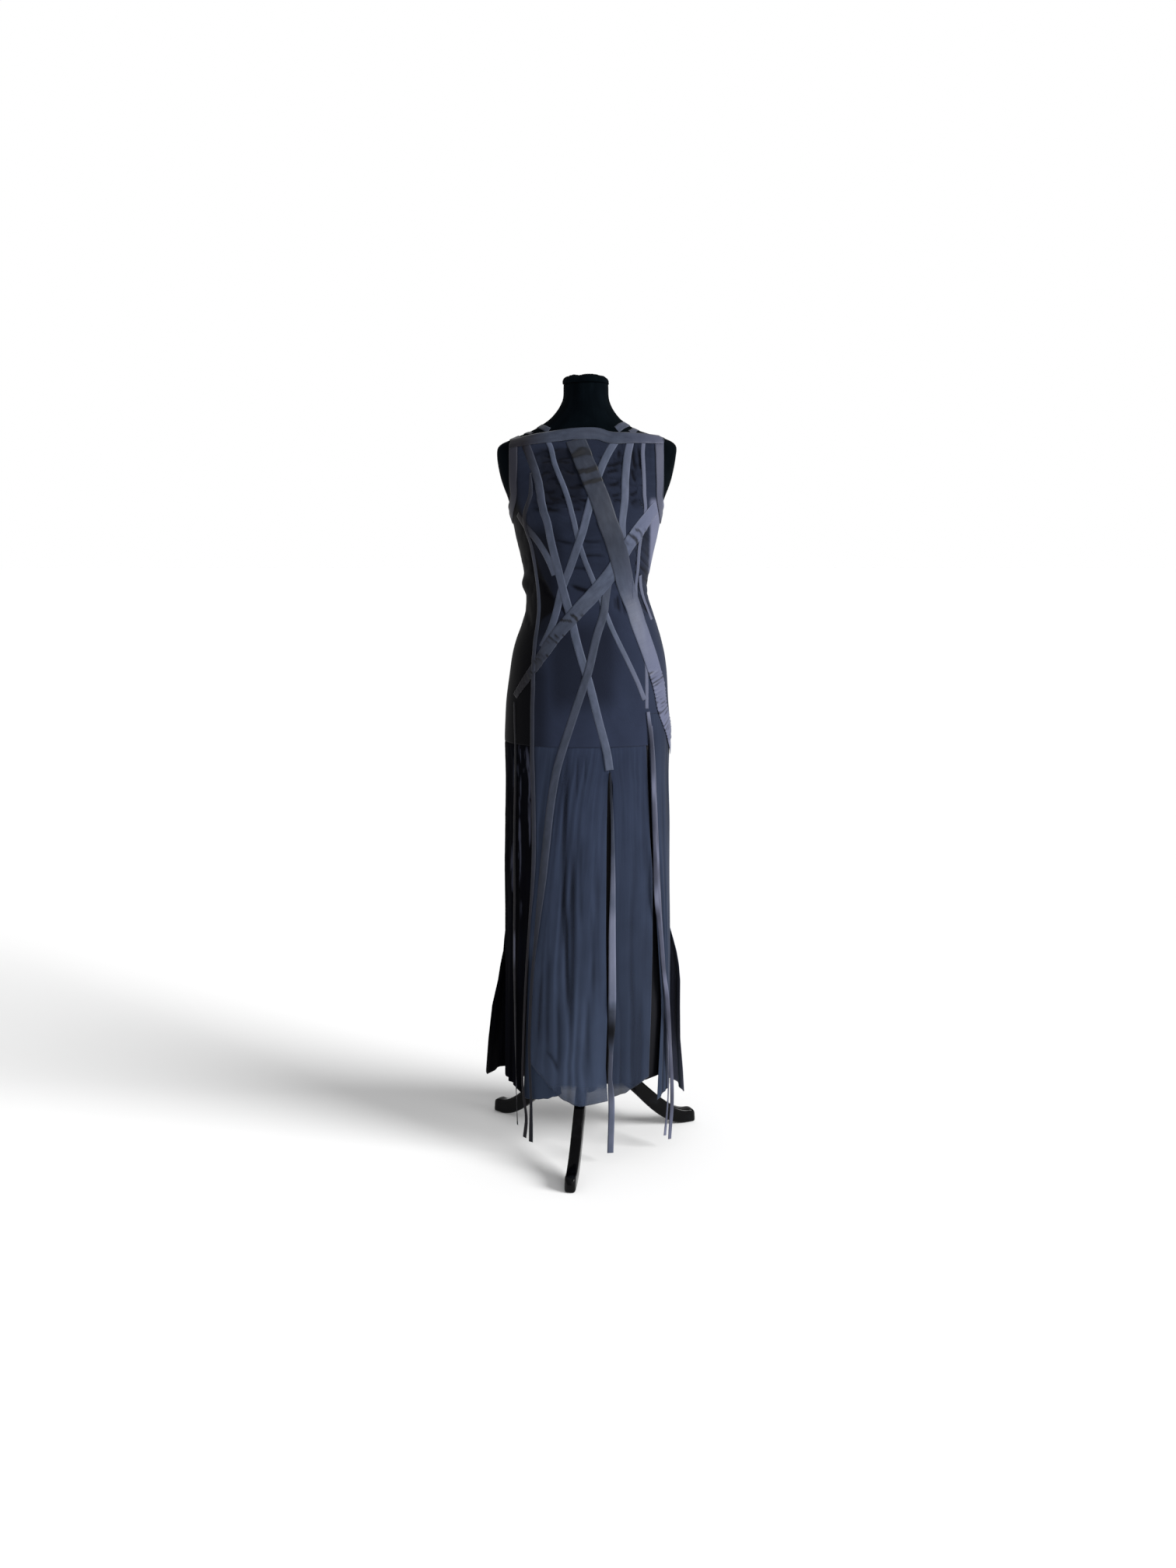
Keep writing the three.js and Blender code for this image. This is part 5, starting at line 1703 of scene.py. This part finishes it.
    def finish(
        self, node: str, face: Sheen, grid: Array, flat: Array, closed: bool, held: Held, shade: Array | float = 0.0,
    ) -> bpy.types.Object:
        """Makes a ribbon from its outer face.

        Args:
            node: Name of its solid.
            face: Face of the ribbon.
            grid: Points in metres.
            flat: UV places in metres.
            closed: Whether its end joins its start.
            held: How it is held; not used.
            shade: Tone at each point.

        Returns:
            The piece.
        """
        obj = grid_mesh(f"{node}_cloth", grid, flat, along=closed, shade=shade)
        give_thickness(obj, RIBBON_THICK)
        satin = face is Sheen.SATIN
        finish = self.finishes.satin if satin else self.finishes.grosgrain
        dress(obj, node, finish)
        return obj

    def build(self) -> list[bpy.types.Object]:
        """All ribbons, in the order of sewing."""
        bands = (
            # The left band carries painted light and the right band painted shade.
            Ribbon("armhole_band_left", ARM_BAND_WIDTH, LEFT_BAND, closed=True, own=1.2,
                   tones=((0, -0.12), (2000, -0.12)), shoulder_sink=4.0),
            Ribbon("armhole_band_right", ARM_BAND_WIDTH, RIGHT_BAND, closed=True, own=1.2,
                   tones=((0, 0.35), (2000, 0.35)), shoulder_sink=4.0),
        )
        laid = [self.laid_ribbon(r) for r in (*SHOULDER_RIBBONS, *bands, *LAID_RIBBONS, *NECKBANDS)]
        return laid + [self.hanging_ribbon(r) for r in HANGING_RIBBONS]


def close_ends(obj: bpy.types.Object, rows: int, columns: int) -> None:
    """Fills the first and last ring of a tube with a flat face, and points every face outward.

    Args:
        obj: The tube, made by grid_mesh with its columns joined.
        rows: Number of rings.
        columns: Points in a ring.
    """
    mesh = bmesh.new()
    mesh.from_mesh(obj.data)
    mesh.verts.ensure_lookup_table()
    for ring in (0, rows - 1):
        mesh.faces.new([mesh.verts[ring * columns + c] for c in range(columns)])
    bmesh.ops.recalc_face_normals(mesh, faces=mesh.faces[:])
    mesh.to_mesh(obj.data)
    mesh.free()


def tube(name: str, grid: Array, flat: Array | None = None) -> bpy.types.Object:
    """A closed body through rings of points.

    Args:
        name: Name of the object.
        grid: Points in metres, rings by points by 3.
        flat: UV places in metres, or none for places along and round.

    Returns:
        The object.
    """
    if flat is None:
        flat = flat_places(grid)
    obj = grid_mesh(name, grid, flat, around=True)
    close_ends(obj, *grid.shape[:2])
    return obj


@dataclass(frozen=True)
class DressForm:
    """Limbless torso with a short neck, in black jersey, with a gathered cover on the neck."""

    finishes: Finishes
    base: float = 735.0
    top: float = 1566.0
    cap_top: float = 1583.0
    columns: int = 110
    rows: int = 190

    def torso(self) -> bpy.types.Object:
        """The torso: the figure, inset by a table so that the gown clears it, with a rounded lower edge.

        Returns:
            The piece.
        """
        inset = Table(("height", "inset"), (
            (735, 20), (748, 15), (800, 12), (868, 6.5), (990, 4), (1080, 3.4), (1170, 3.0), (1300, 3.2),
            (1335, 3.8), (1385, 2.4), (1463, 2.4), (1478, 1.6), (1512, 0.4), (1566, 0.2),
        ))
        angle = (np.arange(self.columns)[None, :] / self.columns) * math.tau - math.pi
        height = np.linspace(self.top, self.base, self.rows)[:, None]
        angle, height = np.broadcast_arrays(angle, height)
        points = FIG.lifted(angle, height, -inset.straight("inset", height))
        points[..., 2] = np.clip(points[..., 2], self.base, self.top)
        centre = np.array((0.0, 3.0, 0.0))
        rings = [points]
        for share in (0.9, 0.5, 0.04):
            low = points[-1:] * share + centre * (1 - share)
            low[..., 2] = self.base
            high = points[:1] * share + centre * (1 - share)
            high[..., 2] = self.top
            rings = [high, *rings, low]
        grid = (np.concatenate(rings, 0) + AXIS) * MM
        flat = np.stack([np.broadcast_to(angle[:1] * 0.12, grid.shape[:2]), grid[..., 2]], -1)
        obj = tube("form_torso_jersey", grid, flat)
        return dress(obj, "form_torso", self.finishes.jersey)

    def neck_cap(self) -> bpy.types.Object:
        """The neck cover: a drum whose top is drawn into uneven gathers, with a lumpy rolled rim.

        Returns:
            The piece.
        """
        profile = Table(("run", "share", "rise"), (
            (0, 0.03, 12.5), (1, 0.30, 13.2), (2, 0.62, 14.6), (3, 0.84, 14.8), (4, 0.97, 11.8), (5, 1.04, 7.2),
            (6, 1.05, 3.2), (7, 1.03, 0.4), (8, 0.9, 0.15), (9, 0.5, 0.15), (10, 0.03, 0.15),
        ))
        columns, rows = 120, 60
        angle = (np.arange(columns)[None, :] / columns) * math.tau - math.pi
        run = np.linspace(0, 10, rows)[:, None]
        share, rise = profile.smooth("share", run), profile.smooth("rise", run)
        gathered = window(run, 1.5, 6.0, 1.2)
        turn = (angle + math.pi) / math.tau
        lumps = Unevenness(201)(turn * 16, run / 6) * np.sin(math.pi * turn) ** 0.25
        folds = Unevenness(202).folds(turn * 64 % 64, run / 12)
        share = share * (1 + 0.045 * lumps * gathered) + 0.03 * folds * gathered
        rise = rise + (1.6 * lumps + 1.2 * folds) * window(run, 0.8, 4.5, 1.2)
        base = FIG.point(angle, np.full(angle.shape, self.top))
        points = np.empty((rows, columns, 3))
        points[..., 0] = base[..., 0] * share
        points[..., 1] = base[..., 1] * share
        points[..., 2] = self.top + np.clip(rise, 0.15, self.cap_top - self.top)
        grid = (points + AXIS) * MM
        flat = np.stack(np.broadcast_arrays(angle * 0.045, run * 0.004), -1)
        obj = tube("form_neck_cap_cloth", grid, flat)
        return dress(obj, "form_neck_cap", self.finishes.jersey)

    def build(self) -> list[bpy.types.Object]:
        """The torso and the neck cover."""
        return [self.torso(), self.neck_cap()]


def bezier(points: Rows, count: int) -> Array:
    """Places along a Bezier curve, by De Casteljau's repeated halfway mixing.

    Args:
        points: Its control points.
        count: Number of places.

    Returns:
        Places, the last one left out.
    """
    t = np.linspace(0, 1, count + 1)[:-1, None]
    mix = [np.broadcast_to(np.array(p, float), (count, 2)) for p in points]
    while len(mix) > 1:
        mix = [a * (1 - t) + b * t for a, b in zip(mix, mix[1:])]
    return mix[0]


@dataclass(frozen=True)
class Stand:
    """Three curved board legs on a turned hub, with a pole that carries the form."""

    finishes: Finishes
    hub_radius: float = 22.0
    hub_low: float = 112.0
    hub_high: float = 200.0
    pole_radius: float = 13.0
    pole_top: float = 735.0
    thick: float = 23.0
    reach: float = 258.0
    turn: float = 7.5
    edge: float = 4.0

    def leg(self, node: str, direction: float) -> bpy.types.Object:
        """One leg: a rounded rectangle carried from the hub to the foot between two curves.

        Args:
            node: Name of its solid.
            direction: Degrees from +X.

        Returns:
            The piece.
        """
        start = self.hub_radius + SEAM
        tip = np.array([(self.reach, 7.0)])
        lower = np.concatenate([
            bezier(((start, 146), (56, 142), (92, 106), (120, 76)), 26),
            bezier(((120, 76), (150, 42), (192, 0), (234, 0)), 26),
            bezier(((234, 0), (243, 0), (252, 0)), 4),
            bezier(((252, 0), (258, 0), (258, 7)), 8), tip])
        upper = np.concatenate([
            bezier(((start, 181), (64, 178), (112, 126), (145, 94)), 26),
            bezier(((145, 94), (180, 60), (212, 31), (238, 31)), 26),
            bezier(((238, 31), (242, 31), (246, 30)), 4),
            bezier(((246, 30), (258, 27), (258, 7)), 8), tip])
        around = np.arange(28) / 28 * math.tau
        bend = 2.0 / 6.0
        sideways = signed_power(np.cos(around), bend)[None, :] * self.thick / 2
        upright = (signed_power(np.sin(around), bend)[None, :] + 1) / 2
        near_tip = np.clip((self.reach - (lower[:, :1] + upper[:, :1]) / 2) / 12.0, 0.0, 1.0)
        sideways = sideways * np.sqrt(np.clip(1 - (1 - near_tip) ** 2, 0.02, 1.0))
        along = lower[:, None, :] * (1 - upright[..., None]) + upper[:, None, :] * upright[..., None]
        cos, sin = math.cos(math.radians(direction)), math.sin(math.radians(direction))
        points = np.empty((*upright.shape[:0], len(lower), 28, 3))
        points[..., 0] = along[..., 0] * cos - sideways * sin
        points[..., 1] = along[..., 0] * sin + sideways * cos
        points[..., 2] = along[..., 1]
        grid = (points[:-1] + AXIS) * MM
        obj = tube(f"{node}_lacquered", grid)
        return dress(obj, node, self.finishes.lacquer)

    def turned(self, node: str, profile: Rows) -> bpy.types.Object:
        """A turned piece: a profile of radius and height carried round the axis.

        Args:
            node: Name of its solid.
            profile: Radii and heights in mm, from the top down.

        Returns:
            The piece.
        """
        columns = 48
        angle = np.arange(columns)[None, :] / columns * math.tau
        radius = np.array([row[0] for row in profile], float)[:, None]
        height = np.array([row[1] for row in profile], float)[:, None]
        points = np.stack(np.broadcast_arrays(radius * np.sin(angle), -radius * np.cos(angle), height), -1)
        obj = tube(f"{node}_lacquered", (points + AXIS) * MM)
        return dress(obj, node, self.finishes.lacquer)

    def hub(self) -> bpy.types.Object:
        """The hub, with rounded edges."""
        quarter = np.linspace(0, math.pi / 2, 7)
        r, e = self.hub_radius, self.edge
        top = [(r - e + e * math.sin(a), self.hub_high - e + e * math.cos(a)) for a in quarter]
        low = [(r - e + e * math.cos(a), self.hub_low + e - e * math.sin(a)) for a in quarter]
        return self.turned("stand_hub", ((0.5, self.hub_high), *top, *low, (0.5, self.hub_low)))

    def pole(self) -> bpy.types.Object:
        """The plain round pole."""
        r, low, high = self.pole_radius, self.hub_high + SEAM, self.pole_top - SEAM
        middle = [(r, high - 1 - (high - low - 2) * k / 12) for k in range(13)]
        return self.turned("stand_pole", ((0.5, high), (r - 1, high), *middle, (r - 1, low), (0.5, low)))

    def build(self) -> list[bpy.types.Object]:
        """The hub, the pole and the three legs."""
        front = -90 - self.turn
        legs = (("leg_front", front), ("leg_right", front + 120), ("leg_left", front - 120))
        return [self.hub(), self.pole(), *(self.leg(node, direction) for node, direction in legs)]


@dataclass(frozen=True)
class Studio:
    """Pale floor, soft light from the right and the front, and a camera a little above the bust."""

    eye: tuple[float, float, float] = (-0.011, -2.825, 1.300)
    tilt: float = 10.45
    lens: float = 32.46
    sensor: float = 36.0

    def camera(self) -> None:
        """The camera, upright, with no shift and everything sharp."""
        data = bpy.data.cameras.new("camera")
        data.sensor_fit = "VERTICAL"
        data.sensor_height = self.sensor
        data.lens = self.lens
        data.clip_end = 60.0
        camera = bpy.data.objects.new("camera", data)
        camera.location = self.eye
        camera.rotation_euler = (math.radians(90 - self.tilt), 0.0, 0.0)
        bpy.context.scene.collection.objects.link(camera)
        bpy.context.scene.camera = camera

    def lamp(self, name: str, place: tuple[float, ...], aim: tuple[float, ...], size: float, power: float) -> None:
        """A soft light that faces a point: a square one, or a far one where the power is under 10.

        Args:
            name: Name of the light.
            place: Where it hangs, in metres.
            aim: Where it points.
            size: Side of a square light, or the angle of a far one in radians.
            power: Watts of a square light, or watts a square metre of a far one.
        """
        far = power < 10
        data = bpy.data.lights.new(name, "SUN" if far else "AREA")
        data.energy = power
        setattr(data, "angle" if far else "size", size)
        lamp = bpy.data.objects.new(name, data)
        lamp.location = place
        lamp.rotation_euler = (Vector(aim) - Vector(place)).to_track_quat("-Z", "Y").to_euler()
        bpy.context.scene.collection.objects.link(lamp)

    def floor(self) -> None:
        """A wide pale floor that isn't part of the object."""
        side = 40.0
        corners = np.array([(-side, -side, 0), (side, -side, 0), (side, side, 0), (-side, side, 0)], float)
        mesh = bpy.data.meshes.new("floor")
        mesh.from_pydata(corners.tolist(), [], [(0, 1, 2, 3)])
        floor = bpy.data.objects.new("floor", mesh)
        bpy.context.scene.collection.objects.link(floor)
        material, tree = new_material("pale studio floor, painted")
        close_material(tree, add_node(tree, "ShaderNodeBsdfPrincipled", {
            "Base Color": linear("#FAFAFA"), "Roughness": 0.9, "Specular IOR Level": 0.1}))
        mesh.materials.append(material)

    def sky(self) -> None:
        """White surroundings that the camera sees at full strength and the cloth at a part of it."""
        world = bpy.data.worlds.new("studio")
        bpy.context.scene.world = world
        world.use_nodes = True
        tree = world.node_tree
        tree.nodes.clear()
        seen = add_node(tree, "ShaderNodeLightPath").outputs["Is Camera Ray"]
        strength = spread(tree, seen, 0.0, 1.0, 0.47, 1.0)
        shell = add_node(tree, "ShaderNodeBackground", {"Color": (1.0, 1.0, 1.0, 1.0), "Strength": strength})
        add_node(tree, "ShaderNodeOutputWorld", {"Surface": shell.outputs[0]})

    def build(self) -> None:
        """Camera, lights, floor and surroundings."""
        self.camera()
        self.lamp("key", (4.14, -1.84, 2.95), (0.0, 0.0, 0.9), 0.5, 4.6)
        self.lamp("front", (0.9, -3.6, 1.5), (0.0, 0.0, 0.8), 2.0, 22.0)
        self.floor()
        self.sky()
        bpy.context.scene.view_settings.view_transform = "Standard"


def main() -> None:
    """Builds the studio, the form, the stand and the gown."""
    logging.basicConfig(level=logging.INFO, format="%(message)s")
    Studio().build()
    finishes = Finishes()
    pieces: list[bpy.types.Object] = []
    for assembly in (DressForm(finishes), Stand(finishes), Bodice(finishes), Skirt(finishes), Trimming(finishes)):
        built = assembly.build()
        LOG.info("%s: %d pieces", type(assembly).__name__, len(built))
        pieces += built
    LOG.info("%d pieces in all", len(pieces))


if __name__ == "__main__":
    main()
